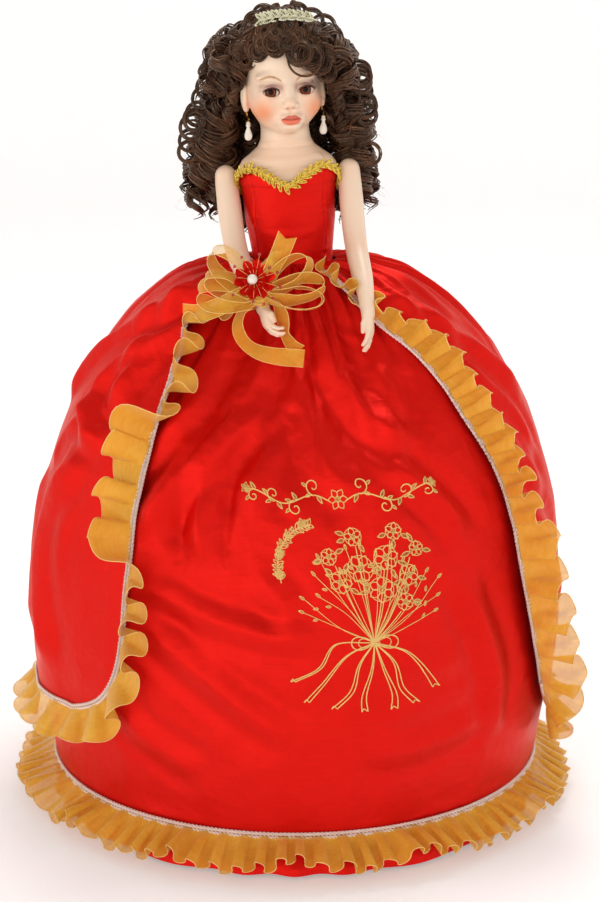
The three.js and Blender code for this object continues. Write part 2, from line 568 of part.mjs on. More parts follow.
// ---- Legs ----
function legs() {
  for (const [side, s] of [["right", -1], ["left", 1]]) {
    const x = BODY_X + s * HIP_X;
    const thigh = turned([[0, 214], [8.5, 214], [9.8, 218], [10.6, 240], [12.2, 280], [12.8, 305], [12.6, 322], [11, 328.6], [7, 332.9], [3, 334.4], [0, 334.6]], 14);
    node(doll, "thigh_" + side, thigh.translate(x, 0, 0), "muslin");
    const shin = limb(
      [V(x, 0, 213.6), V(x, 1, 180), V(x, 2, 130), V(x, 1, 114)],
      [[0.004, 8.6, 1], [0.2, 9, 1], [0.42, 9.3, 1], [0.7, 6.4, 1], [0.9, 5.4, 1.05], [0.996, 5.2, 1.1]],
    );
    node(doll, "lower_leg_" + side, shin, "bisque");
    const sole = SOLE_Z;
    const shoe = bent(4, 8, (u, v, w) => {
      const toe = 1 - v;
      const wide = 6.6 + 1.6 * Math.sin(Math.PI * Math.min(1, toe * 1.15)) - 13 * Math.max(0, toe - 0.8);
      const high = 13.4 - 7.6 * THREE.MathUtils.clamp((toe - 0.42) / 0.4, 0, 1);
      const arch = 1 - 0.25 * (2 * u - 1) ** 2;
      return V(x + (2 * u - 1) * wide, 11 - 34 * toe, SOLE_Z + (w > 0.5 ? high * arch : 0));
    });
    node(doll, "shoe_" + side, shoe, "shoe");
  }
}

stand();
waistGrip();
torsoBody();
shoulderHead();
headParts();
armElastic();
bodice();
gown();
overskirt();
wig();
earrings();
arms();
corsage();
legs();
upper.add(head);
doll.add(upper);

export default doll;
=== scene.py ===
import json
import math

import bpy
import numpy as np
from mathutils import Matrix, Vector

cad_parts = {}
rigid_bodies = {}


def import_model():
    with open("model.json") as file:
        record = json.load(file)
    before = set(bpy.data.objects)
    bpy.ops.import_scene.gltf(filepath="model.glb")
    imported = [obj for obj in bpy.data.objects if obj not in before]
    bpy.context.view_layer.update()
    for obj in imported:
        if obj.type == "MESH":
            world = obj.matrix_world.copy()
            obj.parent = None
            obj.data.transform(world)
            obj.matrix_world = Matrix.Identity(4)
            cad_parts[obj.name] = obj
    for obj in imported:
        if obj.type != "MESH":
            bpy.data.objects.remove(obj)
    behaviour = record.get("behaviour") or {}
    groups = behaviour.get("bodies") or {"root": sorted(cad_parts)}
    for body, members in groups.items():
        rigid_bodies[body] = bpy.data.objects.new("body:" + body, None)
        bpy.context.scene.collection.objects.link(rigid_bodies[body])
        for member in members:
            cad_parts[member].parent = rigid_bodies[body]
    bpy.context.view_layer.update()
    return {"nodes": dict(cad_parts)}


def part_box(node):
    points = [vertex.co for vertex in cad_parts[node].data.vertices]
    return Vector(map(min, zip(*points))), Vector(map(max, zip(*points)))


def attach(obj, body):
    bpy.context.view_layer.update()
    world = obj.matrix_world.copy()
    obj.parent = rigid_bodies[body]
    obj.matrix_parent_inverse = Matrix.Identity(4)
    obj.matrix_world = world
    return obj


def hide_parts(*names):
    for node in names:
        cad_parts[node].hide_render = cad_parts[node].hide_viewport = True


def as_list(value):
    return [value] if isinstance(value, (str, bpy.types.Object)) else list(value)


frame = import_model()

MM = 0.001
LEAN = math.radians(-3.5)  # the upper body leans to its right, about the waist
HEAD_TURN = math.radians(12)  # the head looks a little to its left
BODY_X = -1.5  # where the waist's middle lies
WAIST_Z = 392.0
SIDES = (("right", -1), ("left", 1))  # the doll's own sides, and the sign of x there


# ---------- numbers and frames ----------
def mm(node):
    """The lowest and highest corners of a CAD node, in millimetres."""
    low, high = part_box(node)
    return np.array(low) / MM, np.array(high) / MM


def lean(points):
    """Takes points drawn on an upright body to where the leaning body holds them."""
    p = np.asarray(points, float)
    up = p[..., 2] - WAIST_Z
    c, s = math.cos(LEAN), math.sin(LEAN)
    return np.stack([BODY_X + p[..., 0] * c + up * s, p[..., 1], WAIST_Z - p[..., 0] * s + up * c], -1)


def unit(v):
    return v / np.maximum(np.linalg.norm(v, axis=-1, keepdims=True), 1e-9)


def smooth01(x):
    x = np.clip(x, 0, 1)
    return x * x * (3 - 2 * x)


def stacked(*parts):
    """Vectors from their coordinates, each spread to the same shape."""
    return np.stack(np.broadcast_arrays(*parts), -1)


def lengths(path):
    """The distance along a path at each of its points."""
    return np.concatenate([[0], np.cumsum(np.linalg.norm(np.diff(path, axis=0), axis=1))])


def turn_round(count):
    """Azimuths evenly spaced once round."""
    return np.linspace(-math.pi, math.pi, count, endpoint=False)


def blur(values, width):
    """Smooths a table sampled at even steps, keeping its ends."""
    kernel = np.exp(-0.5 * (np.arange(-3 * width, 3 * width + 1) / width) ** 2)
    padded = np.pad(values, 3 * width, mode="reflect", reflect_type="odd")
    return np.convolve(padded, kernel / kernel.sum(), mode="valid")


def value_noise(n, count, seed, closed=True):
    """A smooth random row of n values in -1..1, with count bumps."""
    r = np.random.default_rng(seed)
    knots = r.uniform(-1, 1, count)
    at = np.linspace(0, count, n, endpoint=False)
    i = np.floor(at).astype(int)
    f = smooth01(at - i)
    if not closed:
        knots = np.append(knots, knots[-1])
        return knots[i] * (1 - f) + knots[i + 1] * f
    return knots[i % count] * (1 - f) + knots[(i + 1) % count] * f


# ---------- meshes ----------
def grid_faces(nu, nv, closed_u=False):
    """Quads of a grid of nu by nv points stored row by row, u fastest."""
    u = np.arange(nu if closed_u else nu - 1)
    uu, vv = np.meshgrid(u, np.arange(nv - 1))
    a = vv * nu + uu
    b = vv * nu + (uu + 1) % nu
    return np.stack([a, b, b + nu, a + nu], -1).reshape(-1, 4)


def tube_points(path, radius, sides):
    """Rings of points round a path. radius may vary along it."""
    path = np.asarray(path, float)
    tangent = unit(np.gradient(path, axis=0))
    side = unit(np.cross([0, 0, 1.0], tangent) + 1e-6)
    deep = np.cross(tangent, side)
    a = np.linspace(0, 2 * math.pi, sides, endpoint=False)
    r = np.broadcast_to(np.asarray(radius, float), (len(path),))[:, None, None]
    ring = np.cos(a)[None, :, None] * side[:, None] + np.sin(a)[None, :, None] * deep[:, None]
    return path[:, None] + r * ring


class Batch:
    """Gathers many small grids into one mesh."""

    def __init__(self):
        self.points, self.quads, self.uvs, self.count = [], [], [], 0

    def add(self, points, closed_u=False, uv=None):
        nv, nu = points.shape[:2]
        self.points.append(points.reshape(-1, 3))
        self.quads.append(grid_faces(nu, nv, closed_u) + self.count)
        if uv is None:
            uv = np.stack(np.meshgrid(np.linspace(0, 1, nu), np.linspace(0, 1, nv)), -1)
        self.uvs.append(uv.reshape(-1, 2))
        self.count += nu * nv

    def tube(self, path, radius, sides=6, uv_shift=0.0):
        """A closed tube round a path, whose V coordinate is its length."""
        rings = tube_points(path, radius, sides)
        along = lengths(path)
        uv = stacked(np.linspace(0, 1, sides)[None, :], along[:, None])
        self.add(rings, True, uv + [0, uv_shift])
        for end in (0, -1):
            base = self.count
            self.points.append(rings[end].mean(0)[None])
            self.uvs.append(uv[end][:1])
            ring = base - rings.shape[0] * sides + (0 if end == 0 else (rings.shape[0] - 1) * sides)
            if end == -1:
                ring -= 1
            i = np.arange(sides)
            tri = np.stack([np.full(sides, base), ring + (i + 1) % sides, ring + i, ring + i], -1)
            self.quads.append(tri if end == 0 else tri[:, [0, 2, 1, 1]])
            self.count += 1

    def make(self, name, material, slot, body, stands_for=(), place=None):
        """Makes one piece of everything gathered, taken where it belongs by place."""
        points, faces, uv = (np.concatenate(rows) for rows in (self.points, self.quads, self.uvs))
        make(name, place(points) if place else points, faces, material, body, uv, stands_for=stands_for)


def make(name, points, faces, material, body, uv=None, colours=None, stands_for=()):
    """Makes a piece from millimetre points. A face whose last two corners agree is a triangle."""
    me = bpy.data.meshes.new(name)
    points, faces = np.asarray(points, float).reshape(-1, 3), np.asarray(faces)
    tri = faces[:, 2] == faces[:, 3]
    sizes = np.where(tri, 3, 4)
    loops = faces.ravel()[(np.arange(4)[None] < sizes[:, None]).ravel()]
    me.vertices.add(len(points))
    me.vertices.foreach_set("co", (points * MM).astype(np.float32).ravel())
    me.loops.add(len(loops))
    me.loops.foreach_set("vertex_index", loops.astype(np.int32))
    me.polygons.add(len(faces))
    me.polygons.foreach_set("loop_start", np.concatenate([[0], np.cumsum(sizes)[:-1]]).astype(np.int32))
    me.polygons.foreach_set("use_smooth", np.ones(len(faces), bool))
    me.update(calc_edges=True)
    if uv is not None:
        layer = me.uv_layers.new(name="UVMap")
        layer.data.foreach_set("uv", uv[loops].astype(np.float32).ravel())
    if colours is not None:
        layer = me.color_attributes.new("paint", "FLOAT_COLOR", "POINT")
        rgba = np.concatenate([colours, np.ones((len(colours), 1))], 1)
        layer.data.foreach_set("color", rgba.astype(np.float32).ravel())
    me.materials.append(material)
    ob = bpy.data.objects.new(name, me)
    bpy.context.scene.collection.objects.link(ob)
    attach(ob, body)
    if stands_for:
        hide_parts(*stands_for)


# ---------- material helpers ----------
class Nodes:
    """A short way to write a node tree."""

    def __init__(self, name, **shader):
        self.material = bpy.data.materials.new(name)
        self.material.use_nodes = True
        self.tree = self.material.node_tree
        self.shader = self.tree.nodes["Principled BSDF"]
        for key, value in shader.items():
            self.shader.inputs[key.replace("_", " ")].default_value = value

    def node(self, kind, inputs=None, **settings):
        n = self.tree.nodes.new("ShaderNode" + kind)
        for key, value in settings.items():
            setattr(n, key, value)
        for key, value in (inputs or {}).items():
            if isinstance(value, bpy.types.NodeSocket):
                self.tree.links.new(value, n.inputs[key])
            else:
                n.inputs[key].default_value = value
        return n

    def math(self, operation, a, b=0.0, c=0.0):
        return self.node("Math", {0: a, 1: b, 2: c}, operation=operation).outputs[0]

    def noise(self, scale, detail=2.0, roughness=0.5, vector=None):
        inputs = {"Scale": scale, "Detail": detail, "Roughness": roughness}
        if vector is not None:
            inputs["Vector"] = vector
        return self.node("TexNoise", inputs).outputs["Fac"]

    def streaks(self, vector, scale, detail=3.0, roughness=0.6):
        """Noise stretched by its own scale along each axis."""
        return self.noise(1.0, detail, roughness,
                          self.node("Mapping", {"Vector": vector, "Scale": scale}).outputs[0])

    def sine(self, value, pitch):
        return self.math("SINE", self.math("MULTIPLY", value, pitch))

    def ramp(self, factor, stops):
        n = self.node("ValToRGB", {"Fac": factor})
        while len(n.color_ramp.elements) < len(stops):
            n.color_ramp.elements.new(0.5)
        for element, (place, colour) in zip(n.color_ramp.elements, stops):
            element.position, element.color = place, (*colour, 1)
        return n.outputs["Color"]

    def mix(self, factor, a, b, blend="MIX"):
        n = self.node("Mix", data_type="RGBA", blend_type=blend)
        for index, value in ((0, factor), (6, a), (7, b)):
            if isinstance(value, bpy.types.NodeSocket):
                self.tree.links.new(value, n.inputs[index])
            else:
                n.inputs[index].default_value = value if index == 0 else (*value, 1)
        return n.outputs[2]

    def link(self, output, socket):
        self.tree.links.new(output, self.shader.inputs[socket])

    def bump(self, height, strength, distance, normal=None):
        inputs = {"Height": height, "Strength": strength, "Distance": distance}
        if normal is not None:
            inputs["Normal"] = normal
        out = self.node("Bump", inputs).outputs["Normal"]
        self.link(out, "Normal")
        return out

    @property
    def uv(self):
        return self.node("UVMap", uv_map="UVMap").outputs["UV"]

    @property
    def place(self):
        return self.node("TexCoord").outputs["Object"]


THREADS = 14000.0  # radians of weave to a metre of satin


def taffeta(name, colour, deep):
    """Crisp satin: a cross weave, slubs along the weft, creases and coloured highlights."""
    n = Nodes(name, Roughness=0.3, Specular_IOR_Level=0.26, Metallic=0.5, Specular_Tint=(1.0, 0.5, 0.42, 1),
              Sheen_Weight=0.06, Sheen_Roughness=0.4, Sheen_Tint=(1.0, 0.16, 0.08, 1))
    uv = n.uv
    split = n.node("SeparateXYZ", {"Vector": uv})
    weft = n.sine(split.outputs[0], THREADS)
    warp = n.sine(split.outputs[1], THREADS)
    weave = n.math("MULTIPLY", weft, warp)
    slub = n.streaks(uv, (30.0, 900.0, 1.0))
    cloud = n.noise(26.0, 3.0, 0.55, n.place)
    base = n.mix(n.math("MULTIPLY_ADD", slub, 0.5, -0.05), colour, deep)
    base = n.mix(n.math("MULTIPLY", cloud, 0.3), base, deep)
    n.link(base, "Base Color")
    n.link(n.math("MULTIPLY_ADD", slub, 0.12, 0.25), "Roughness")
    first = n.bump(weave, 0.25, 0.00008)
    second = n.bump(slub, 0.3, 0.00016, first)
    for scale, height in ((30.0, 0.0016), (75.0, 0.0006)):
        creased = n.math("ABSOLUTE", n.math("MULTIPLY_ADD", n.noise(scale, 2.0, 0.5, n.place), 2.0, -1.0))
        second = n.bump(n.math("POWER", n.math("SUBTRACT", 1.0, creased), 2.5), 0.3, height, second)
    return n.material


# ---------- the gown's outline ----------
# (height, radius) down the gown's front and down its side.
FRONT_LINE = [(392, 23), (375, 38), (350, 58), (330, 75), (300, 100), (270, 122), (240, 138), (200, 153),
              (150, 164), (100, 169), (60, 169), (25, 166), (0, 163)]
SIDE_LINE = [(392, 30), (388, 48), (380, 78), (370, 95), (350, 117), (330, 134), (300, 155), (270, 168),
             (240, 178), (200, 186), (150, 190), (120, 190), (90, 187), (60, 183), (25, 178), (0, 174)]
LEVELS = np.arange(0, 393.0)


def outline(table):
    z, r = np.array(table[::-1], float).T
    line = np.interp(LEVELS, z, r)
    wide, fine = blur(line, 9), blur(line, 2)
    share = smooth01((LEVELS - 355) / 25)
    return wide * (1 - share) + fine * share


FRONT, SIDE = outline(FRONT_LINE), outline(SIDE_LINE)


def gown_radius(azimuth, z):
    """The gown's radius at an azimuth from straight ahead, in radians, and at a height."""
    forward = np.clip(np.cos(azimuth), 0, None) ** 2
    return forward * np.interp(z, LEVELS, FRONT) + (1 - forward) * np.interp(z, LEVELS, SIDE)


def gown_slope(azimuth, z):
    """How fast the gown's radius grows downward."""
    high = np.minimum(z + 2, WAIST_Z)
    return (gown_radius(azimuth, high - 4) - gown_radius(azimuth, high)) / 4


def gown_point(azimuth, z, out=0.0):
    """Points on the gown, moved out along its own slope."""
    azimuth, z = np.broadcast_arrays(np.asarray(azimuth, float), np.asarray(z, float))
    slope = gown_slope(azimuth, z)
    size = np.hypot(1, slope)
    r = gown_radius(azimuth, z) + out / size
    pinch = smooth01((z - 380) / 11)
    x = r * np.sin(azimuth) * (1 - 0.08 * pinch) + BODY_X * pinch
    y = -r * np.cos(azimuth) * (1 - np.where(np.cos(azimuth) < 0, 0.3, 0.12) * pinch)
    return np.stack([x, y, z + out * slope / size], -1)


# Height by distance down the side of the gown, so that rows are evenly spaced on the flat top too.
DOWN = np.concatenate([[0], np.cumsum(np.hypot(1, np.diff(SIDE[::-1])))])


def height_at(distance):
    return np.interp(distance, DOWN, LEVELS[::-1])


def distance_at(z):
    return np.interp(z, LEVELS, DOWN[::-1])


# ---------- folds ----------
def ridge(az, down, path, height, width, fade=25.0):
    """A crease along a path of (azimuth in degrees, height z): a crisp ridge with a hollow on each side."""
    path = spline(np.array(path, float), 2 * len(path) + 1)
    level = distance_at(path[:, 1])
    best = np.full(az.shape, 1e9)
    along = np.zeros(az.shape)
    start = 0.0
    for (a0, a1), (d0, d1) in zip(zip(np.radians(path[:-1, 0]), np.radians(path[1:, 0])),
                                  zip(level, level[1:])):
        r = gown_radius((a0 + a1) / 2, height_at((d0 + d1) / 2))
        px, py = (az - a0) * r, down - d0
        qx, qy = (a1 - a0) * r, d1 - d0
        size = qx * qx + qy * qy + 1e-9
        t = np.clip((px * qx + py * qy) / size, 0, 1)
        dist = np.hypot(px - t * qx, py - t * qy)
        nearer = dist < best
        best = np.where(nearer, dist, best)
        along = np.where(nearer, start + t * np.sqrt(size), along)
        start += float(np.mean(np.sqrt(size)))
    ends = smooth01(along / fade) * smooth01((start - along) / fade)
    x = best / width
    crest = np.exp(-(np.sqrt(x * x + 0.04) ** 1.25)) * 1.15
    return height * ends * (crest - 0.6 * np.exp(-((x - 1.9) / 0.8) ** 2))


def field(az, down, seed):
    """The cloth's own relief, shared by every layer: gathers at the waist, then long soft folds."""
    turn = az / (2 * math.pi) * 4096 % 4096
    at = np.clip(turn, 0, 4095).astype(int)
    wander = 0.5 * value_noise(4096, 23, seed)[at] + 0.25 * value_noise(4096, 61, seed + 1)[at]
    reach = 40 + 34 * value_noise(4096, 37, seed + 2)[at]
    fine = np.cos(58 * az + 5 * wander + 0.004 * down) * np.exp(-(down / reach) ** 1.2) * 1.5
    middle = np.cos(27 * az + 6 * wander + 0.006 * down) * np.exp(-((down - 45) / (reach + 40)) ** 2) * 1.6
    height = 1.4 + 1.2 * value_noise(4096, 9, seed + 3)[at]
    grow = smooth01(down / 90) * (1 - 0.55 * smooth01((down - 220) / 160))
    broad = np.cos(11 * az + 2.4 * wander + 0.005 * down) * height * grow
    slow = np.sin(5 * az + 0.011 * down + seed) * 1.6 * smooth01(down / 150)
    return fine + middle + broad + slow


def crumple(az, down, seed, size=26.0, height=0.5):
    """Faint creases at random angles."""
    r = np.random.default_rng(seed)
    total = np.zeros(az.shape)
    x = az * 170
    for _ in range(9):
        angle = r.uniform(0, math.pi)
        s = (x * math.cos(angle) + down * math.sin(angle)) / (size * r.uniform(0.6, 1.8)) + r.uniform(0, 9)
        other = (down * math.cos(angle) - x * math.sin(angle)) / (size * 3) + r.uniform(0, 9)
        crest = (1 - np.abs(np.sin(s + 0.8 * np.sin(other)))) ** 2.4
        total += crest * smooth01(0.5 + 0.9 * np.sin(other * 1.7))
    return total * height / 3


# Each crease: its path in (azimuth in degrees, height), how high it stands and about half its width.
SKIRT_CREASES = [
    ([(-10, 352), (-16, 330), (-22, 306), (-30, 278), (-37, 246), (-39, 220)], 5.6, 9),
    ([(-9, 318), (-15, 300), (-20, 290), (-26, 268), (-26, 238), (-23, 205)], 5.2, 8),
    ([(-3, 340), (-8, 300), (-12, 262), (-11, 232)], 3.2, 9),
    ([(10, 366), (17, 338), (24, 310), (31, 290), (38, 279)], 5.0, 8),
    ([(38, 278), (34, 296), (35, 322), (37, 338)], 4.0, 7),
    ([(26, 282), (34, 262), (42, 240), (45, 214)], 4.2, 8),
    ([(4, 344), (6, 300), (12, 268), (22, 252)], 3.0, 10),
    ([(-33, 320), (-38, 300), (-40, 284)], 3.0, 7),
    ([(-40, 200), (-26, 182), (-8, 168), (8, 166)], 2.3, 7),
    ([(-38, 170), (-22, 138), (-8, 112), (2, 96)], 2.6, 8),
    ([(-12, 214), (-2, 186), (2, 158)], 1.8, 8),
    ([(42, 200), (47, 160), (51, 116), (50, 72)], 3.2, 9),
    ([(12, 92), (24, 84), (38, 88), (50, 100)], 2.2, 8),
    ([(-44, 110), (-34, 84), (-20, 66)], 2.4, 8),
    ([(22, 150), (34, 140), (44, 146)], 1.6, 7),
]


def skirt_relief(az, down):
    relief = 0.8 * field(az, down, seed=3) + crumple(az, down, seed=5, size=30, height=1.5)
    relief = relief + crumple(az, down, seed=6, size=13)
    for path, height, width in SKIRT_CREASES:
        relief += ridge(az, down, path, height, width)
    return 1.25 * relief - 1.2


OVER_CREASES = [
    ([(-40, 386), (-58, 372), (-76, 350), (-88, 318), (-92, 280)], 6.0, 9),
    ([(-46, 366), (-56, 344), (-60, 318), (-57, 292)], 5.0, 7),
    ([(-56, 352), (-66, 330), (-70, 304), (-64, 282), (-54, 276)], 4.6, 7),
    ([(-62, 300), (-74, 286), (-80, 262), (-76, 240)], 3.2, 7),
    ([(-64, 266), (-72, 226), (-71, 180), (-68, 140), (-66, 112)], 4.2, 10),
    ([(-84, 250), (-88, 200), (-86, 150), (-82, 118)], 3.6, 11),
    ([(-104, 330), (-108, 270), (-106, 210)], 3.4, 12),
    ([(46, 378), (62, 358), (76, 330), (86, 292)], 4.2, 9),
    ([(56, 352), (66, 322), (74, 290), (76, 250)], 3.6, 8),
    ([(64, 300), (70, 262), (74, 226)], 3.0, 8),
    ([(66, 230), (74, 186), (77, 140)], 3.4, 10),
    ([(100, 340), (106, 280), (104, 220)], 3.4, 12),
    ([(140, 350), (146, 290), (142, 220)], 3.4, 12),
    ([(-150, 350), (-144, 290), (-148, 220)], 3.4, 12),
]


def over_out(az, down):
    """How far the overskirt stands out from the gown's outline."""
    az = az + 2 * math.pi * (az < -math.pi)
    relief = field(az, down, seed=17) + crumple(az, down, seed=23, size=34, height=1.5)
    relief = relief + crumple(az, down, seed=24, size=14)
    for path, height, width in OVER_CREASES:
        relief += ridge(az, down, path, height, width)
    out = 3.0 + 1.25 * relief * smooth01(0.3 + down / 30)
    return (1.0 + np.logaddexp(0, (out - 1.0) * 1.4) / 1.4) * (0.35 + 0.65 * smooth01(down / 22))


def cloth_uv(az, down):
    """Flat cloth coordinates in metres."""
    return stacked(az * 0.17, down * MM)


# ---------- gown pieces ----------
# The overskirt's front edges: (height, azimuth in degrees).
RIGHT_EDGE = [(386, 35), (380, 38), (371, 46), (364, 51), (343, 50), (322, 46), (291, 44), (270, 42.5),
              (235, 42), (209, 41), (155, 41), (133, 42), (116, 44.5), (104, 48), (96, 53), (92, 58)]
LEFT_EDGE = [(386, 33), (371, 36), (349, 47), (340, 51), (317, 54), (295, 54.5), (280, 56.5), (253, 58.4),
             (226, 58.4), (199, 58), (169, 59.4), (138, 61), (104, 65), (84, 70), (66, 79)]
RED = (0.76, 0.008, 0.004)
DEEP_RED = (0.46, 0.0025, 0.002)
HEM_Z = 27.0  # where the hem ruffle is sewn on
PANEL_TOP, RUFFLE_TOP = 391.4, 386  # where the overskirt and its ruffle begin


def edge_azimuth(z, table):
    zs, degrees = np.array(table[::-1], float).T
    fine = np.linspace(zs[0], zs[-1], 400)
    return np.radians(np.interp(z, fine, blur(np.interp(fine, zs, degrees), 9)))


def hem_height(u):
    """The overskirt's hem, from its right corner round the back to its left corner."""
    return 93 - 5 * np.sin(math.pi * u) - 22 * smooth01((u - 0.72) / 0.28)


def past_edge(az, z):
    """The angle past the overskirt's front edge; above 0 a point is under the overskirt."""
    return np.where(az < 0, -az - edge_azimuth(z, RIGHT_EDGE), az - edge_azimuth(z, LEFT_EDGE))


def over_azimuth(u, z):
    """The azimuth at a height of the overskirt; u runs round the back from its right edge to its left."""
    start = -edge_azimuth(z, RIGHT_EDGE)
    return start + u * (edge_azimuth(z, LEFT_EDGE) - 2 * math.pi - start)


def over_place(u, fall):
    """Azimuth and height on the overskirt's border, where fall runs from waist to hem."""
    z = RUFFLE_TOP + (hem_height(u) - RUFFLE_TOP) * fall
    return over_azimuth(u, z), z


def gown_pieces():
    red = taffeta("red taffeta", RED, DEEP_RED)
    nu, rows = 620, 190
    az = turn_round(nu)[None, :]
    down = np.linspace(distance_at(391.0), distance_at(4.0), rows)[:, None]
    az, down = np.broadcast_arrays(az, down)
    z = height_at(down)
    inside = past_edge(az, z)
    under = smooth01((inside - 0.02) / 0.12) * smooth01((z - 84) / 10)
    relief = skirt_relief(az, down)
    relief = relief * (1 - under) + (0.25 * relief - 3.0) * under
    relief = relief * smooth01((z - 20) / 22) * smooth01(0.25 + down / 30)
    flare = 5 + 8 * np.clip(np.cos(az), 0, 1) + 1.6 * np.cos(23 * az + 2 * np.sin(5 * az))
    tucked_in = 1.5 * smooth01((HEM_Z + 2 - z) / 4) * smooth01(z / 20)
    relief = relief + flare * smooth01((HEM_Z - z) / 24) - tucked_in
    make("skirt_front", gown_point(az, z, relief), grid_faces(nu, rows, True), red, "doll",
         cloth_uv(az, down).reshape(-1, 2), stands_for=["skirt"])

    nu, rows = 520, 170
    u, fall = np.meshgrid(np.linspace(0, 1, nu), np.linspace(0, 1, rows))
    waist = distance_at(PANEL_TOP)
    down = waist + (distance_at(hem_height(u)) - waist) * fall
    z = height_at(down)
    a = over_azimuth(u, z)
    make("overskirt_panel", gown_point(a, z, over_out(a, down)), grid_faces(nu, rows), red,
         "doll", cloth_uv(a, down).reshape(-1, 2), stands_for=["overskirt"])
    return red


def path_frame(points, normals):
    """Unit vectors along a path, across it, and out of the surface."""
    tangent = unit(np.gradient(points, axis=0))
    across = unit(np.cross(normals, tangent))
    return tangent, across, unit(normals)


def resample(points, step):
    """The same path with its points a fixed step apart."""
    along = lengths(points)
    count = max(2, int(along[-1] / step))
    at = np.linspace(0, along[-1], count)
    return np.stack([np.interp(at, along, points[:, k]) for k in range(points.shape[1])], 1), at


def surface_path(az, z, out, step):
    """A path over the gown with its normals, from azimuths and heights."""
    both, _ = resample(np.column_stack([gown_point(az, z, out), gown_point(az, z, out + 1), az, z]), step)
    return both[:, :3], unit(both[:, 3:6] - both[:, :3]), both[:, 6], both[:, 7]


def gathers(length, wave, seed, jitter):
    """The phase of the gathers along a strip, unevenly spaced. wave may vary along it."""
    n = len(length)
    wander = value_noise(n, max(4, int(length[-1] / np.mean(wave) / 1.7)), seed, False)
    return 2 * math.pi * np.cumsum(np.gradient(length) / wave) + jitter * wander


def frill(points, normals, width, tilt, wave, swing, squeeze, seed, rows=11, base=1.0, jitter=1.1, power=0.75,
          lift=0.0):
    """A gathered strip sewn down along points. It leans by tilt, in radians, from lying across the path to
    standing up, and its free edge swings to and fro by swing and doubles back on itself by squeeze."""
    tangent, across, out = path_frame(points, normals)
    length = lengths(points)
    n = len(points)
    phase = gathers(length, wave, seed, jitter)
    many = max(5, int(length[-1] / np.mean(wave)))
    size = 1 + 0.28 * value_noise(n, many, seed + 1, False)
    tilt = tilt + 0.22 * value_noise(n, max(4, many // 2), seed + 2, False)
    t = np.linspace(0, 1, rows)[:, None, None]
    grow = t**power
    c, s = np.cos(tilt)[:, None], np.sin(tilt)[:, None]
    reach = across * c + out * s
    swell = -across * s + out * c
    wave_1 = (np.sin(phase) * size * swing)[:, None]
    wave_2 = (-np.sin(2 * phase) * size * squeeze)[:, None]
    sway = (np.cos(phase * 0.5 + seed) * 0.06)[:, None]
    p = points + out * base + reach * width * t * (1 + sway * t) + grow * (swell * wave_1 + tangent * wave_2)
    p = p + grow * reach * (np.cos(phase) * size * swing * 0.42)[:, None] + out * lift * t**1.5
    wide = np.broadcast_to(np.reshape(width, -1), n) * MM
    uv = stacked((length * MM)[None, :], t[..., 0] * wide)
    return p, uv


def above_floor(points, low=0.6):
    points[..., 2] = np.maximum(points[..., 2], low)
    return points


def outside_gown(points, out=1.0):
    """Pushes points out of the gown's surface where they sink into it."""
    az = np.arctan2(points[..., 0], -points[..., 1])
    have = np.hypot(points[..., 0], points[..., 1])
    z = np.clip(points[..., 2], 0, 391)
    slope = gown_slope(az, z)
    size = np.hypot(1, slope)
    short = np.clip(out - (have - gown_radius(az, z)) / size, 0, 12) * (z < 385)
    grow = 1 + short / size / np.maximum(have, 1)
    points[..., 0] *= grow
    points[..., 1] *= grow
    points[..., 2] += short * slope / size
    return points


def cloth_under(points):
    """How far the satin stands out from the gown's outline under some points."""
    az = np.arctan2(points[..., 0], -points[..., 1])
    z = np.clip(points[..., 2], 0, 391)
    down = distance_at(z)
    inside = past_edge(az, z)
    return np.where(inside > 0, over_out(az, down), skirt_relief(az, down))


def twist(path, normals, radius, pitch, strands=2, spread=0.8):
    """Strands twisted round each other along a path."""
    _, across, out = path_frame(path, normals)
    length = lengths(path)
    made = []
    for k in range(strands):
        a = (2 * math.pi * (length / pitch + k / strands))[:, None]
        made.append(path + spread * radius * (np.cos(a) * across + np.sin(a) * out))
    return made


def rolled_edge(name, strip, edge):
    """The thread rolled into a ruffle's free edge."""
    rolled = Batch()
    rolled.tube(strip[-1][::2], 0.34, 5)
    rolled.make(name, edge, "gold_organza", "doll")


def sewn_cords(name, rows, normals, radius, pitch, thick, cream, stands_for=()):
    """A cord of twisted strands along each row."""
    cords = Batch()
    for row in rows:
        for strand in twist(row, normals, radius, pitch):
            cords.tube(strand, thick, 5)
    cords.make(name, cream, "cream_cord", "doll", stands_for)


def organza(name, colour, pale, alpha):
    """Sheer cloth that shows what is behind it, with a shimmer along the weft."""
    n = Nodes(name, Roughness=0.32, Alpha=alpha, Specular_IOR_Level=0.5, Specular_Tint=(1.0, 0.8, 0.45, 1),
              Sheen_Weight=0.35, Sheen_Tint=(1.0, 0.78, 0.35, 1))
    uv = n.uv
    cloud = n.noise(70.0, 3.0, 0.6, uv)
    moire = n.streaks(uv, (260.0, 500.0, 1.0), 2.0, 0.5)
    split = n.node("SeparateXYZ", {"Vector": uv})
    lines = n.math("MULTIPLY", *(n.sine(split.outputs[k], 9000.0) for k in (0, 1)))
    shade = n.math("ADD", n.math("MULTIPLY", cloud, 0.9), n.math("MULTIPLY", moire, 0.9))
    n.link(n.mix(n.math("MULTIPLY_ADD", shade, 0.8, -0.35), colour, pale), "Base Color")
    n.bump(lines, 0.3, 0.0001, n.bump(cloud, 0.3, 0.0006))
    return n.material


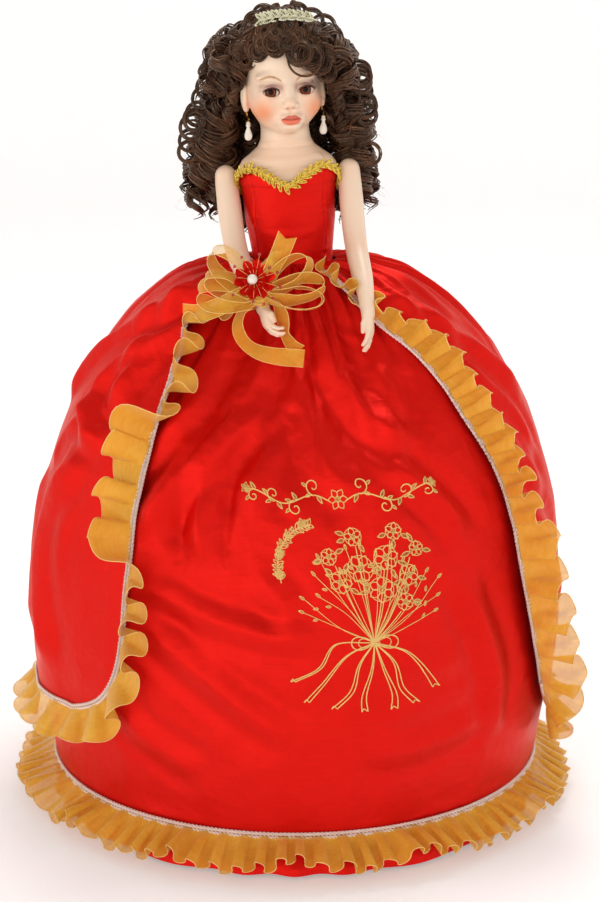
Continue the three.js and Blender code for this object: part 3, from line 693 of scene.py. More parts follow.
def thread(name, colour, dark, roughness=0.45, metallic=0.0, pitch=900.0):
    """Twisted thread or cord: slanting plies along a tube, whose V coordinate is its length."""
    n = Nodes(name, Roughness=roughness, Metallic=metallic)
    split = n.node("SeparateXYZ", {"Vector": n.uv})
    slant = n.math("ADD", n.math("MULTIPLY", split.outputs[0], 12.566),
                   n.math("MULTIPLY", split.outputs[1], pitch))
    ply = n.math("MULTIPLY_ADD", n.math("SINE", slant), 0.5, 0.5)
    cloud = n.noise(300.0, 2.0, 0.5, n.place)
    # Each ply is painted lighter on its crest and darker between plies: painted highlight and painted shade. The
    # cloud noise is the thread's own uneven tone.
    n.link(n.mix(n.math("MULTIPLY_ADD", n.math("MULTIPLY", ply, cloud), 1.3, 0.3), dark, colour),
           "Base Color")
    n.bump(ply, 0.5, 0.0003)
    return n.material


def border_path(step):
    """Round the overskirt's border, from the right front edge down, round the hem and up the left."""
    fall = np.linspace(0, 1, 220)
    right = over_place(np.zeros(220), fall)
    hem = over_place(np.linspace(0, 1, 500)[1:-1], np.ones(498))
    left = over_place(np.ones(220), fall[::-1])
    az = np.concatenate([right[0], hem[0], left[0]])
    z = np.concatenate([right[1], hem[1], left[1]])
    points, normals, az, z = surface_path(az, z, over_out(az, distance_at(z)), step)
    for _ in range(3):  # rounds the corners
        points[1:-1] = (points[:-2] + 2 * points[1:-1] + points[2:]) / 4
    return points, normals, az, z


def trims():
    gold = organza("gold organza", (0.72, 0.32, 0.010), (0.94, 0.56, 0.08), alpha=0.8)
    edge = thread("gold edge thread", (1.0, 0.72, 0.26), (0.86, 0.46, 0.09), 0.35)
    cream = thread("cream cord", (1.0, 0.84, 0.76), (0.88, 0.58, 0.48), 0.5)

    # Ruffle and cord round the overskirt's border.
    points, normals, az, z = border_path(0.9)
    _, across, out = path_frame(points, normals)
    share = np.linspace(0, 1, len(points))
    hem = (z < 99) & (share > 0.18) & (share < 0.84)
    hem = blur(hem.astype(float), 30)
    # How far the ruffle leans. On the right it lies over the front, but is thrown back in the middle.
    # On the left it stands up, wavering, and lies down again near the waist.
    fold_back = smooth01((z - 196) / 34) * smooth01((306 - z) / 34) * (share < 0.4)
    lean_right = math.radians(14) + math.radians(150) * fold_back
    lean_left = math.radians(97) + math.radians(24) * value_noise(len(points), 60, 12, False)
    lean_left = lean_left + (math.radians(30) - lean_left) * smooth01((z - 352) / 20)
    tilt = np.where(share < 0.5, lean_right, lean_left)
    tilt = blur(tilt, 12) * (1 - hem) + math.radians(26) * hem
    width = 25 + 2 * value_noise(len(points), 40, 8, False) - 3 * hem
    width = width * smooth01((391 - z) / 12 + 0.3) * (1 - 0.42 * smooth01((z - 336) / 16) * (share > 0.5))
    left = smooth01((share - 0.82) / 0.05)
    width = width * (1 - 0.3 * left)
    strip, uv = frill(points, normals, np.abs(width)[:, None], tilt, wave=25 - 9.5 * left,
                      swing=8.6 - left, squeeze=3.1 - 0.3 * left, seed=31, rows=14, base=0.6, lift=4.5)
    strip = outside_gown(strip, cloth_under(strip) + 0.8)
    cut = [0, len(points) // 3, 2 * len(points) // 3, len(points) - 1]
    names = ["overskirt_ruffle_right", "overskirt_ruffle_back", "overskirt_ruffle_left"]
    for k, name in enumerate(names):
        part = slice(cut[k], cut[k + 1] + 1)
        make("organza_" + name, strip[:, part], grid_faces(cut[k + 1] - cut[k] + 1, 14), gold,
             "doll", uv[:, part].reshape(-1, 2), stands_for=[name])
    rolled_edge("overskirt_ruffle_thread", strip, edge)
    rows = [points[::2] + across[::2] * row + out[::2] for row in (-1.2, 1.2)]
    sewn_cords("overskirt_cord", rows, normals[::2], radius=0.8, pitch=5.4, thick=0.68, cream=cream)

    # Ruffle and cord at the gown's hem.
    az = np.linspace(-math.pi, math.pi, 2400)
    points = gown_point(az, HEM_Z + 0 * az, 0.4)
    normals = unit(np.stack([np.sin(az), -np.cos(az), 0.35 + 0 * az], -1))
    front = np.clip(np.cos(az), 0, None) ** 2
    down = np.full(len(az), math.radians(-44)) - 0.18 * front
    strip, uv = frill(points, normals, (30.5 - 1.2 * front)[:, None], math.pi + down, wave=13.0, swing=4.2,
                      squeeze=1.6, seed=77, rows=10, base=0.4, jitter=1.6, power=0.6)
    hem_trim(strip, uv, gold, edge, points, normals, cream)
    return edge


def hem_trim(strip, uv, gold, edge, points, normals, cream):
    """The hem ruffle, closed on itself and kept off the floor, with its thread and cords."""
    closing = np.linspace(0, 1, strip.shape[1])[None, :, None]
    strip = strip + (strip[:, :1] - strip[:, -1:]) * smooth01((closing - 0.97) / 0.03)
    strip = above_floor(strip)
    make("organza_hem_ruffle", strip, grid_faces(strip.shape[1], 10), gold, "doll",
         uv.reshape(-1, 2), stands_for=["hem_ruffle"])
    rolled_edge("hem_ruffle_thread", strip, edge)
    rows = [points[::2] + normals[::2] * 1.2 + [0, 0, row] for row in (-1.3, 1.3)]
    sewn_cords("hem_cords", rows, normals[::2], radius=0.86, pitch=5.6, thick=0.72, cream=cream,
               stands_for=["hem_cord"])


# ---------- camera, light and floor ----------
def setting():
    scene = bpy.context.scene
    scene.view_settings.view_transform = "Standard"
    scene.view_settings.look = "None"
    cam = bpy.data.objects.new("camera", bpy.data.cameras.new("camera"))
    cam.location = (0, -1.35, 0.62)
    cam.rotation_euler = (math.radians(74.7), 0, 0)
    cam.data.sensor_width = 36
    cam.data.lens = 76.8
    cam.data.shift_x = 0.0055
    scene.collection.objects.link(cam)
    scene.camera = cam

    world = bpy.data.worlds.new("world")
    scene.world = world
    world.use_nodes = True
    world.node_tree.nodes["Background"].inputs["Color"].default_value = (1.0, 0.985, 0.975, 1)
    world.node_tree.nodes["Background"].inputs["Strength"].default_value = 0.5

    for name, place, size, power, colour in (
        ("key", (-1.1, -1.6, 1.7), 0.45, 72, (1.0, 0.97, 0.93)),
        ("fill", (1.6, -1.3, 1.1), 0.9, 16, (1.0, 0.98, 0.96)),
        ("top", (0.2, 0.5, 1.9), 0.8, 16, (1.0, 0.98, 0.96)),
    ):
        light = bpy.data.lights.new(name, "AREA")
        light.shape, light.size, light.energy, light.color = "DISK", size, power, colour
        ob = bpy.data.objects.new(name, light)
        ob.location = place
        aim = np.array([0, 0, 0.3]) - place
        ob.rotation_euler = (math.acos(aim[2] / np.linalg.norm(aim)) + math.pi, 0,
                             math.atan2(aim[1], aim[0]) - math.pi / 2)
        scene.collection.objects.link(ob)

    n = Nodes("studio sweep", Roughness=0.9, Specular_IOR_Level=0.0, Emission_Color=(1.0, 0.985, 0.975, 1),
              Emission_Strength=0.26)
    n.link(n.mix(n.noise(1.5, 2.0, 0.5, n.place), (0.86, 0.855, 0.85), (0.88, 0.875, 0.87)), "Base Color")
    rings = [(0.01, -0.2), (1500, -0.2), (3400, -0.2)]
    rings += [(3400 + 1200 * math.sin(a), -0.2 + 1200 * (1 - math.cos(a)))
              for a in np.linspace(0.1, 1.57, 14)] + [(4600, 3600)]
    a = turn_round(96)[None]
    rings = np.array(rings)
    sweep = stacked(rings[:, :1] * np.cos(a), rings[:, :1] * np.sin(a), rings[:, 1:])
    me = bpy.data.meshes.new("studio_sweep")
    me.from_pydata((sweep.reshape(-1, 3) * MM).tolist(), [], grid_faces(96, len(rings), True).tolist())
    me.materials.append(n.material)
    floor = bpy.data.objects.new("studio_sweep", me)
    for polygon in me.polygons:
        polygon.use_smooth = True
    scene.collection.objects.link(floor)


# ---------- bisque: head, shoulder plate and arms, as smooth distance fields ----------
HEAD = np.array([-1.2, -2.0, 519.0])
EYE = np.array([12.0, -23.2, -8.0])  # an eye's centre from the head's, and its radius
EYE_R = 6.6
UPPER_LID, LOWER_LID = (0.2, -4.9, 7.5), (-0.2, 5.2, 8.1)  # circles the lids' edges follow: x, z and radius
LIP_Z = -26.6
# (radius, height) up the shoulder plate and neck, their depth as a share of that, and up the torso.
PLATE_LINE = [(28.6, 416), (28.6, 420), (29.6, 436), (30.0, 446), (33.4, 450.5), (34.7, 455), (34.2, 459),
              (31, 463.5), (25, 468), (20, 472), (17.4, 477), (16.8, 484), (16.8, 500)]
PLATE_DEPTH = [(0.74, 420), (0.74, 447), (0.56, 458), (0.66, 467), (0.86, 476), (0.86, 500)]
BODY_LINE = [(25.6, 393), (27.6, 408), (29.2, 420), (30.2, 436), (31.2, 446), (33.4, 450.5), (34.7, 455),
             (34.2, 459), (31, 463.5)]


def rgb(r, g, b):
    """A display colour, 0 to 255, as the linear one that shaders use."""
    return tuple((np.array([r, g, b]) / 255.0) ** 2.2)


def along(table, z):
    value, at = np.array(table, float).T
    return np.interp(z, at, value)


def ball(p, centre, radii):
    """About the distance to an ellipsoid."""
    q = (p - np.array(centre, np.float32)) / np.array(radii, np.float32)
    k = np.linalg.norm(q, axis=-1)
    return k * (k - 1) / np.maximum(np.linalg.norm(q / np.array(radii, np.float32), axis=-1), 1e-6)


def taper(p, a, b, ra, rb):
    """The distance to a capsule whose radius changes along it."""
    a, d = np.array(a, np.float32), np.array(b, np.float32) - np.array(a, np.float32)
    t = np.clip((p - a) @ d / (d @ d), 0, 1)
    return np.linalg.norm(p - a - t[..., None] * d, axis=-1) - (ra + (rb - ra) * t)


def fuse(a, b, soft):
    h = np.clip(0.5 + 0.5 * (b - a) / soft, 0, 1)
    return b + (a - b) * h - soft * h * (1 - h)


def carve(a, b, soft):
    return -fuse(-a, b, soft)


def mesh_field(field, axes, reach=5.0, block=4):
    """The zero surface of a distance field over a grid, as quads."""
    shape = [len(a) for a in axes]
    grid = np.stack(np.meshgrid(*axes, indexing="ij"), -1).astype(np.float32)
    half = block // 2
    rough_grid = grid[half::block, half::block, half::block]
    rough = field(rough_grid.reshape(-1, 3)).reshape(rough_grid.shape[:3])
    at = np.ix_(*[np.minimum(np.arange(n) // block, m - 1) for n, m in zip(shape, rough.shape)])
    value, near = rough[at].copy(), (np.abs(rough) < reach)[at]
    value[near] = field(grid[near])
    inside = value < 0
    cells = [n - 1 for n in shape]
    count = np.zeros(cells, np.int8)
    for i in (0, 1):
        for j in (0, 1):
            for k in (0, 1):
                count += inside[i : i + cells[0], j : j + cells[1], k : k + cells[2]]
    mixed = (count > 0) & (count < 8)
    where = np.argwhere(mixed)
    number = np.full(cells, -1)
    number[mixed] = np.arange(len(where))
    total, hits = np.zeros((len(where), 3)), np.zeros(len(where))
    for axis in range(3):
        for a in (0, 1):
            for b in (0, 1):
                low = where.copy()
                low[:, (axis + 1) % 3] += a
                low[:, (axis + 2) % 3] += b
                high = low.copy()
                high[:, axis] += 1
                v0, v1 = value[tuple(low.T)], value[tuple(high.T)]
                crossing = (v0 < 0) != (v1 < 0)
                t = np.where(crossing, v0 / np.where(crossing, v0 - v1, 1), 0)[:, None]
                p0, p1 = grid[tuple(low.T)], grid[tuple(high.T)]
                total += crossing[:, None] * (p0 + t * (p1 - p0))
                hits += crossing
    points = total / hits[:, None]
    quads = []
    for axis in range(3):
        o0, o1 = (axis + 1) % 3, (axis + 2) % 3
        low = [slice(None)] * 3
        high = [slice(None)] * 3
        low[axis], high[axis] = slice(None, -1), slice(1, None)
        first, second = inside[tuple(low)], inside[tuple(high)]
        g = np.argwhere(first != second)
        g = g[(g[:, o0] > 0) & (g[:, o1] > 0) & (g[:, o0] < cells[o0]) & (g[:, o1] < cells[o1])]
        e0, e1 = np.zeros(3, int), np.zeros(3, int)
        e0[o0], e1[o1] = 1, 1
        quad = np.stack([number[tuple((g - d).T)] for d in (e0 + e1, e1, e0 * 0, e0)], -1)
        flip = ~first[tuple(g.T)]
        quad[flip] = quad[flip][:, ::-1]
        quads.append(quad)
    for _ in range(2):
        points = settle(field, points)
    return points, np.concatenate(quads)


def settle(field, points, offset=0.0, limit=1.0):
    """Moves points along the field's slope onto its surface, or a little off it."""
    p = points.astype(np.float32)
    value = field(p) - offset
    slope = np.stack([field(p + e) - field(p - e) for e in np.eye(3, dtype=np.float32) * 0.1], -1) / 0.2
    size = np.maximum((slope**2).sum(-1), 0.05)
    return points - np.clip(value / size, -limit, limit)[:, None] * slope


def graded(low, high, fine_low, fine_high, fine, coarse):
    """Grid levels that are close together between fine_low and fine_high."""
    return np.concatenate([np.arange(low, fine_low, coarse), np.arange(fine_low, fine_high, fine),
                           np.arange(fine_high, high + coarse, coarse)])


def turn_z(p, angle):
    c, s = math.cos(angle), math.sin(angle)
    return np.stack([p[..., 0] * c - p[..., 1] * s, p[..., 0] * s + p[..., 1] * c, p[..., 2]], -1)


def head_out(p):
    """From the head's own frame to the world."""
    return lean(turn_z(np.asarray(p, float), HEAD_TURN) + HEAD)


def eye_opening(p, side):
    """Below 0 inside the almond between the lids, drawn straight back through the face."""
    x = p[..., 0] * side - EYE[0]
    z = p[..., 2] - EYE[2] - 0.1
    upper, lower = (np.hypot(x - cx, z - cz) - r for cx, cz, r in (UPPER_LID, LOWER_LID))
    return np.maximum(upper, lower)


def plate_field(p):
    z = p[..., 2]
    r, d = along(PLATE_LINE, z), along(PLATE_DEPTH, z)
    slope = (along(PLATE_LINE, z + 1.5) - along(PLATE_LINE, z - 1.5)) / 3
    f = (np.hypot(p[..., 0], p[..., 1] / d) - r) * d / np.hypot(1, slope * d)
    for s in (-1, 1):  # collar bones
        bone = taper(p, (5 * s, -13.6, 463), (22 * s, -11.5, 464), 1.0, 0.6)
        f = fuse(f, bone, 5.0)
    return np.maximum(f, 418.5 - z)


def head_field(p):
    """The head, neck and shoulder plate, in the head's frame."""
    x, y, z = p[..., 0], p[..., 1], p[..., 2]
    m = np.stack([np.abs(x), y, z], -1)
    f = ball(p, (0, 4.5, 8), (27.8, 29.5, 29.5))
    for centre, radii, soft in (
        ((0, -5.5, -8), (24.4, 24.6, 25), 7),  # face
        ((0, -10, 11), (22.5, 20.8, 19), 7),  # forehead
        ((12.4, -15.6, -17.0), (11.8, 12.2, 11.0), 6),  # cheeks
        ((0, -19.8, -31.2), (8.2, 8.6, 6.6), 6),  # chin
        ((7.0, -9, -26.0), (10.6, 13.5, 8.6), 6),  # jaw
    ):
        f = fuse(f, ball(m, centre, radii), soft)
    # Eye sockets, brows and lids.
    f = carve(f, ball(m, (12.2, -33.4, -7), (8, 6.2, 5.4)), 5)
    f = fuse(f, ball(m, (12.5, -25, 2.2), (9, 3.6, 2.6)), 5)
    lid = np.linalg.norm(m - EYE.astype(np.float32), axis=-1) - (EYE_R + 0.95)
    f = fuse(f, lid, 1.6)
    fold = np.hypot(m[..., 0] - EYE[0], z - EYE[2] + 3.8) - 9.0
    f = f + 0.42 * np.exp(-((fold / 0.55) ** 2)) * smooth01((z - EYE[2] - 0.5) / 2.5) * (y < -15)
    # Nose.
    f = fuse(f, taper(p, (0, -26.6, -1), (0, -31.2, -13.5), 2.2, 2.7), 5)
    f = fuse(f, ball(p, (0, -31.9, -15.9), (3.3, 3.4, 3.0)), 2.2)
    f = fuse(f, ball(m, (3.7, -29.6, -17.4), (2.3, 2.9, 2.1)), 1.6)
    f = carve(f, ball(m, (2.0, -32.0, -19.5), (1.2, 1.9, 1.1)), 0.7)
    # Mouth.
    f = fuse(f, ball(p, (0, -25.5, LIP_Z), (9.5, 6.3, 6.5)), 5)
    for s in (-1, 1):
        f = fuse(f, ball(p, (2.7 * s, -30.4, LIP_Z + 1.6), (4.2, 2.3, 1.7)), 1.6)
        f = fuse(f, ball(p, (1.7 * s, -30.5, LIP_Z - 1.8), (4.0, 2.3, 1.9)), 1.6)
    f = fuse(f, ball(p, (0, -31.4, LIP_Z + 1.0), (1.7, 1.6, 1.4)), 1.4)
    line = LIP_Z + 0.1 + 0.012 * x * x - 0.25 * np.exp(-((x / 1.6) ** 2))
    f = f + 0.62 * np.exp(-(((z - line) / 0.5) ** 2)) * smooth01((7.6 - np.abs(x)) / 2) * (y < -20)
    groove = 0.45 * np.exp(-((x / 1.3) ** 2)) * smooth01((z + 23.6) / 1.5) * smooth01((-19.5 - z) / 1.5)
    f = f + groove * (y < -20)
    f = f + 0.8 * np.exp(-((np.hypot(m[..., 0] - 7.9, z - LIP_Z - 0.3) / 1.1) ** 2)) * (y < -18)
    f = f + 0.7 * np.exp(-(((z + 30.6) / 1.2) ** 2) - (x / 6) ** 2) * (y < -20)
    # Openings for the glass eyes.
    for s in (-1, 1):
        hole = np.maximum(eye_opening(p, s), y + 20)
        f = carve(f, hole, 0.5)
    f = np.maximum(f, -(np.linalg.norm(m - EYE.astype(np.float32), axis=-1) - EYE_R - 0.12))
    # Ears.
    ear = ball(m, (27.2, -7.6, -11.2), (2.6, 4.8, 8.4))
    ear = carve(ear, ball(m, (30.2, -8.4, -9.4), (2.4, 2.9, 5.6)), 0.8)
    ear = fuse(ear, ball(m, (26.6, -8.6, -18.6), (2.0, 2.6, 2.9)), 1.2)
    f = fuse(f, ear, 1.6)
    # Neck and shoulders, which don't turn with the head.
    upright = turn_z(p, HEAD_TURN) + HEAD.astype(np.float32)
    return fuse(f, plate_field(upright), 5.0)


def blend(base, colour, amount):
    return base + (np.array(colour) - base) * np.clip(amount, 0, 1)[:, None]


BISQUE = rgb(236, 208, 182)


def face_paint(p):
    """China paint and painted shade below the chin, worked out from where each point lies on the head."""
    x, y, z = p.T
    ax, front = np.abs(x), smooth01((-y - 8) / 8)
    c = np.tile(np.array(BISQUE), (len(p), 1))
    # The neck and shoulders below the chin are painted darker: painted shade under the head.
    c = blend(c, rgb(232, 190, 156), 0.5 * smooth01((-37 - z) / 8))
    cheek = np.exp(-(((ax - 19) / 8.5) ** 2) - ((z + 20.5) / 8.5) ** 2)
    c = blend(c, rgb(226, 122, 58), 0.86 * cheek * smooth01((-y - 2) / 10))
    c = blend(c, rgb(226, 150, 108), 0.3 * np.exp(-((x / 5) ** 2) - ((z + 36) / 3) ** 2) * front)
    c = blend(c, rgb(236, 176, 140), 0.35 * np.exp(-((x / 3.4) ** 2) - ((z + 16) / 3) ** 2) * front)
    over = (ax - EYE[0]) / 7.4
    shade = np.exp(-(over**2) * 1.1 - ((z - EYE[2] - 4.4) / 1.9) ** 2)
    c = blend(c, rgb(146, 82, 78), 0.85 * shade * front)
    c = blend(c, rgb(172, 104, 92),
              0.5 * np.exp(-(((ax - 5.2) / 1.8) ** 2) - ((z - EYE[2] - 2.6) / 2.4) ** 2) * front)
    opening = np.minimum(eye_opening(p, 1), eye_opening(p, -1))
    above = smooth01((z - EYE[2] - 0.6) / 1.2)
    c = blend(c, rgb(58, 26, 20), 0.95 * smooth01((1.35 - opening) / 0.6) * above * front)
    c = blend(c, rgb(206, 130, 110), 0.7 * smooth01((0.55 - opening) / 0.5) * (1 - above) * front)
    arch = z - EYE[2] - 10.6 + 0.045 * (ax - 13.2) ** 2
    c = blend(c, rgb(184, 136, 88),
              0.8 * np.exp(-((arch / 0.85) ** 2)) * smooth01((8.6 - np.abs(ax - 12.6)) / 3) * front)
    # Lips.
    h = z - LIP_Z
    share = np.clip(ax / 7.2, 0, 1)
    upper = 3.4 * (1 - share**1.7) - 0.75 * np.exp(-((x / 1.5) ** 2)) - 0.05
    lower = -3.9 * np.sqrt(np.clip(1 - (ax / 6.9) ** 2, 0, 1)) ** 1.1
    edge = np.minimum(upper - h, h - lower)
    lips = smooth01(edge / 0.6 + 0.5) * (ax < 7.2) * (y < -22)
    tone = blend(np.tile(rgb(226, 88, 52), (len(p), 1)), rgb(204, 56, 28), smooth01((h + 0.4) / 1.0))
    seam = np.exp(-(((h - 0.1 - 0.012 * x * x) / 0.4) ** 2))
    tone = blend(tone, rgb(128, 26, 20), 0.7 * seam)
    c = c + (tone - c) * (lips * 0.95)[:, None]
    nostril = np.exp(-(((ax - 2.1) / 1.1) ** 2) - ((z + 19.2) / 0.8) ** 2)
    c = blend(c, rgb(176, 84, 60), 0.7 * nostril * front)
    return c


def bisque_material():
    n = Nodes("painted bisque", Roughness=0.4, Specular_IOR_Level=0.45, Subsurface_Weight=0.12,
              Subsurface_Radius=(0.004, 0.0018, 0.001), Coat_Weight=0.15, Coat_Roughness=0.3)
    paint = n.node("VertexColor", layer_name="paint").outputs["Color"]
    mottle = n.noise(90.0, 4.0, 0.6, n.place)
    grain = n.noise(2600.0, 2.0, 0.6, n.place)
    tone = n.mix(n.math("MULTIPLY", mottle, 0.16), paint, rgb(226, 176, 140))
    n.link(n.mix(n.math("MULTIPLY", grain, 0.06), tone, rgb(255, 246, 232)), "Base Color")
    n.link(n.math("MULTIPLY_ADD", mottle, 0.2, 0.3), "Roughness")
    n.bump(grain, 0.12, 0.00006)
    return n.material


def lash(batch, root, tip, bow, radius, steps=7):
    """A fine tapered hair, bowed to one side."""
    t = np.linspace(0, 1, steps)[:, None]
    batch.tube(root + (tip - root) * t + bow * 4 * t * (1 - t), radius * (1 - 0.75 * t[:, 0]), 4)


def brush_stroke(batch, path, radius, end):
    """A stroke of paint laid on the face, thinner towards its end."""
    for _ in range(5):
        path = settle(head_field, path, 0.02, 4)
    batch.tube(path, radius * np.linspace(1, end, len(path)), 4)


def head_pieces():
    bisque = bisque_material()
    axes = [graded(-36, 36, -20, 20, 0.42, 0.8), graded(-36, 36, -35, -21, 0.42, 0.8),
            graded(418 - 519, 560 - 519, -38.5, 5, 0.42, 0.8)]
    points, quads = mesh_field(head_field, axes)
    make("bisque_head", head_out(points), quads, bisque, "doll", colours=face_paint(points),
         stands_for=["shoulder_head", "head_pate"])

    # Glass eyes, with the iris at the pole that looks out at the room.
    n = Nodes("glass eye", Roughness=0.1, Specular_IOR_Level=0.08, Coat_Weight=0.15, Coat_Roughness=0.02)
    split = n.node("SeparateXYZ", {"Vector": n.uv})
    rays = n.streaks(n.uv, (3.0, 60.0, 1.0))
    ringed = n.math("ADD", split.outputs[0], n.math("MULTIPLY_ADD", rays, 0.05, -0.025))
    n.link(n.ramp(ringed, [(0.0, rgb(6, 3, 3)), (0.13, rgb(8, 4, 4)), (0.15, rgb(66, 26, 12)),
                           (0.24, rgb(124, 62, 30)),
                           (0.35, rgb(70, 30, 16)), (0.39, rgb(22, 10, 8)), (0.415, rgb(190, 172, 164)),
                           (0.47, rgb(226, 214, 208)), (0.7, rgb(226, 200, 190))]), "Base Color")
    t, a = np.linspace(0, 0.72, 44), np.linspace(0, 2 * math.pi, 64, endpoint=False)
    polar = (t * math.pi / 2)[:, None]
    cornea = EYE_R + 0.5 * np.clip(1 - (polar / 0.62) ** 2, 0, 1)
    globe = stacked(cornea * np.sin(polar) * np.cos(a), -cornea * np.cos(polar),
                                         cornea * np.sin(polar) * np.sin(a))
    uv = stacked(t[:, None], np.abs(np.linspace(-1, 1, 64)))
    for side, s in SIDES:
        gaze = turn_z(globe, math.radians(-7))
        up = math.radians(4)
        gaze = np.stack([gaze[..., 0], gaze[..., 1] * math.cos(up) + gaze[..., 2] * math.sin(up),
                         gaze[..., 2] * math.cos(up) - gaze[..., 1] * math.sin(up)], -1)
        place = head_out(gaze + EYE * [s, 1, 1])
        batch = Batch()
        batch.add(place[::-1], True, uv[::-1])
        batch.make("glass_eye_" + side, n.material, "eye_glass", "doll", ["eye_" + side])

    # Lashes along the upper lids, painted lashes under the eyes and hair strokes on the brows.
    r = np.random.default_rng(4)
    n = Nodes("lashes", Roughness=0.5)
    n.link(n.mix(n.noise(500.0, 2.0, 0.5, n.place), rgb(30, 14, 10), rgb(64, 34, 22)), "Base Color")
    p = Nodes("painted strokes", Roughness=0.45)
    p.link(p.mix(p.noise(500.0, 2.0, 0.5, p.place), rgb(176, 128, 84), rgb(206, 160, 110)), "Base Color")
    painted = Batch()
    for side, s in SIDES:
        fine = Batch()
        for x in np.linspace(-5.3, 5.6, 40):
            z = math.sqrt(max(UPPER_LID[2] ** 2 - (x - UPPER_LID[0]) ** 2, 0)) + UPPER_LID[1] + 0.1
            depth = math.sqrt(max((EYE_R + 0.75) ** 2 - x * x - z * z, 1))
            root = EYE + [x, -depth, z]
            root[0] *= s
            lift = r.uniform(0.8, 1.15) * (1 + 0.5 * smooth01((x - 1) / 4))
            tip = root + np.array([s * (0.10 * x + 0.4), -1.7, 1.0]) * lift + r.uniform(-0.15, 0.15, 3)
            lash(fine, root, tip, np.array([0, -0.1, -0.35]), 0.19)
        fine.make("eyelashes_" + side, n.material, "hair", "doll", ["lashes_" + side], head_out)
        for x in np.linspace(-3.6, 5.0, 15):
            z = -math.sqrt(max(LOWER_LID[2] ** 2 - (x - LOWER_LID[0]) ** 2, 0)) + LOWER_LID[1] + 0.1
            run = np.array([[s * (EYE[0] + x + 0.1 * x * t), -30, EYE[2] + z - 0.35 - 1.5 * t]
                            for t in np.linspace(0, 1, 6)])
            brush_stroke(painted, run, 0.085, 0.3)
        for x in np.linspace(-7.8, 6.6, 40):
            low = EYE[2] + 10.5 - 0.045 * (x - 0.7) ** 2 + r.uniform(-0.28, 0.2)
            rise = -0.09 * (x - 0.7) * 1.8 + 0.25
            run = np.array([[s * (EYE[0] + x + 1.8 * t), -28, low + rise * t] for t in np.linspace(0, 1, 6)])
            brush_stroke(painted, run, 0.13, 0.4)
    painted.make("painted_lashes_and_brows", p.material, "bisque", "doll", place=head_out)
    return bisque


# The middle of each upright arm from shoulder to wrist, and (share of its length, radius) along it.
ARM_PATH = {
    "right": [(-43.2, 0, 462), (-43, -2, 446), (-38, -27, 403), (-22, -74, 373), (-15, -94, 349)],
    "left": [(43.2, 0, 462), (43, -2, 446), (44.5, -22, 404), (48.6, -62, 374), (50, -89, 337)],
}
ARM_PROFILE = [(0.06, 7.5), (0.1, 8.0), (0.2, 8.4), (0.36, 8), (0.44, 7.7), (0.6, 7.2), (0.72, 5.6),
               (0.8, 4.7)]


def spline(points, count):
    """Points evenly spread in number along a Catmull-Rom curve."""
    p = np.array(points, float)
    p = np.concatenate([[2 * p[0] - p[1]], p, [2 * p[-1] - p[-2]]])
    t = np.linspace(0, len(p) - 3, count)
    i = np.minimum(t.astype(int), len(p) - 4)
    f = (t - i)[:, None]
    a, b, c, d = p[i], p[i + 1], p[i + 2], p[i + 3]
    return 0.5 * (2 * b + (c - a) * f + (2 * a - 5 * b + 4 * c - d) * f**2 + (3 * b - a - 3 * c + d) * f**3)


def arm_field(side):
    """An upright arm with its hand, as a distance field, and the hand's frame."""
    s = -1 if side == "right" else 1
    line, _ = resample(spline(ARM_PATH[side], 200), 0.5)
    share = np.linspace(0, 1, len(line))
    radius = np.interp(share, *np.array(ARM_PROFILE).T)
    stop = np.searchsorted(share, 0.80)
    keys = np.linspace(0.06 * len(line), stop, 22).astype(int)
    wrist = line[stop]
    go = unit(line[-1] - line[stop])
    palm = np.array([-s, 0.25, 0.0])
    palm = unit(palm - (palm @ go) * go)
    thumb = np.cross(palm, go) * (1 if s < 0 else -1)
    if thumb[1] > 0:
        thumb = -thumb
    curl = (16, 34, 34) if side == "right" else (8, 14, 16)

    def at(g, t, q):
        return wrist + go * g + thumb * t + palm * q

    bones = []
    for t, long, r in ((4.1, 12.5, 1.75), (1.4, 13.8, 1.85), (-1.3, 13.0, 1.8), (-3.8, 10.8, 1.6)):
        start, angle, spread = at(14.0 - 0.12 * (t - 1) ** 2, t, 0.2), 0.0, 0.05 * t
        for k, share_k in enumerate((0.42, 0.32, 0.26)):
            angle += math.radians(curl[k])
            end = start + long * share_k * (math.cos(angle) * (go + thumb * spread) + math.sin(angle) * palm)
            bones.append((start, end, r * (1 - 0.12 * k), r * (1 - 0.12 * (k + 1))))
            start = end
    base = at(4.0, 3.6, 0.8)
    mid = at(9.5, 6.6, 2.6)
    tip = at(15.0, 6.6, 3.6)

    def field(p):
        f = np.full(p.shape[:-1], 1e3, np.float32)
        for a, b in zip(keys[:-1], keys[1:]):
            f = np.minimum(f, taper(p, line[a], line[b], radius[a], radius[b]))
        rel = p - wrist.astype(np.float32)
        local = np.stack([rel @ go, rel @ thumb, rel @ palm], -1).astype(np.float32)
        hand = ball(local, (8.6, 0.2, 0), (8.4, 6.2, 3.3))
        hand = fuse(hand, ball(local, (4.5, 3.2, 0.9), (4.8, 3.0, 2.9)), 2.0)
        fingers = np.full(p.shape[:-1], 1e3, np.float32)
        for a, b, ra, rb in bones:
            fingers = fuse(fingers, taper(p, a, b, ra, rb), 0.45)
        hand = fuse(hand, fingers, 1.6)
        hand = fuse(hand, fuse(taper(p, base, mid, 2.5, 2.0), taper(p, mid, tip, 2.0, 1.35), 0.5), 1.4)
        return fuse(f, hand, 3.0)

    tips = [b for _, b, _, _ in bones[2::3]] + [tip]
    return field, line, np.array(tips)


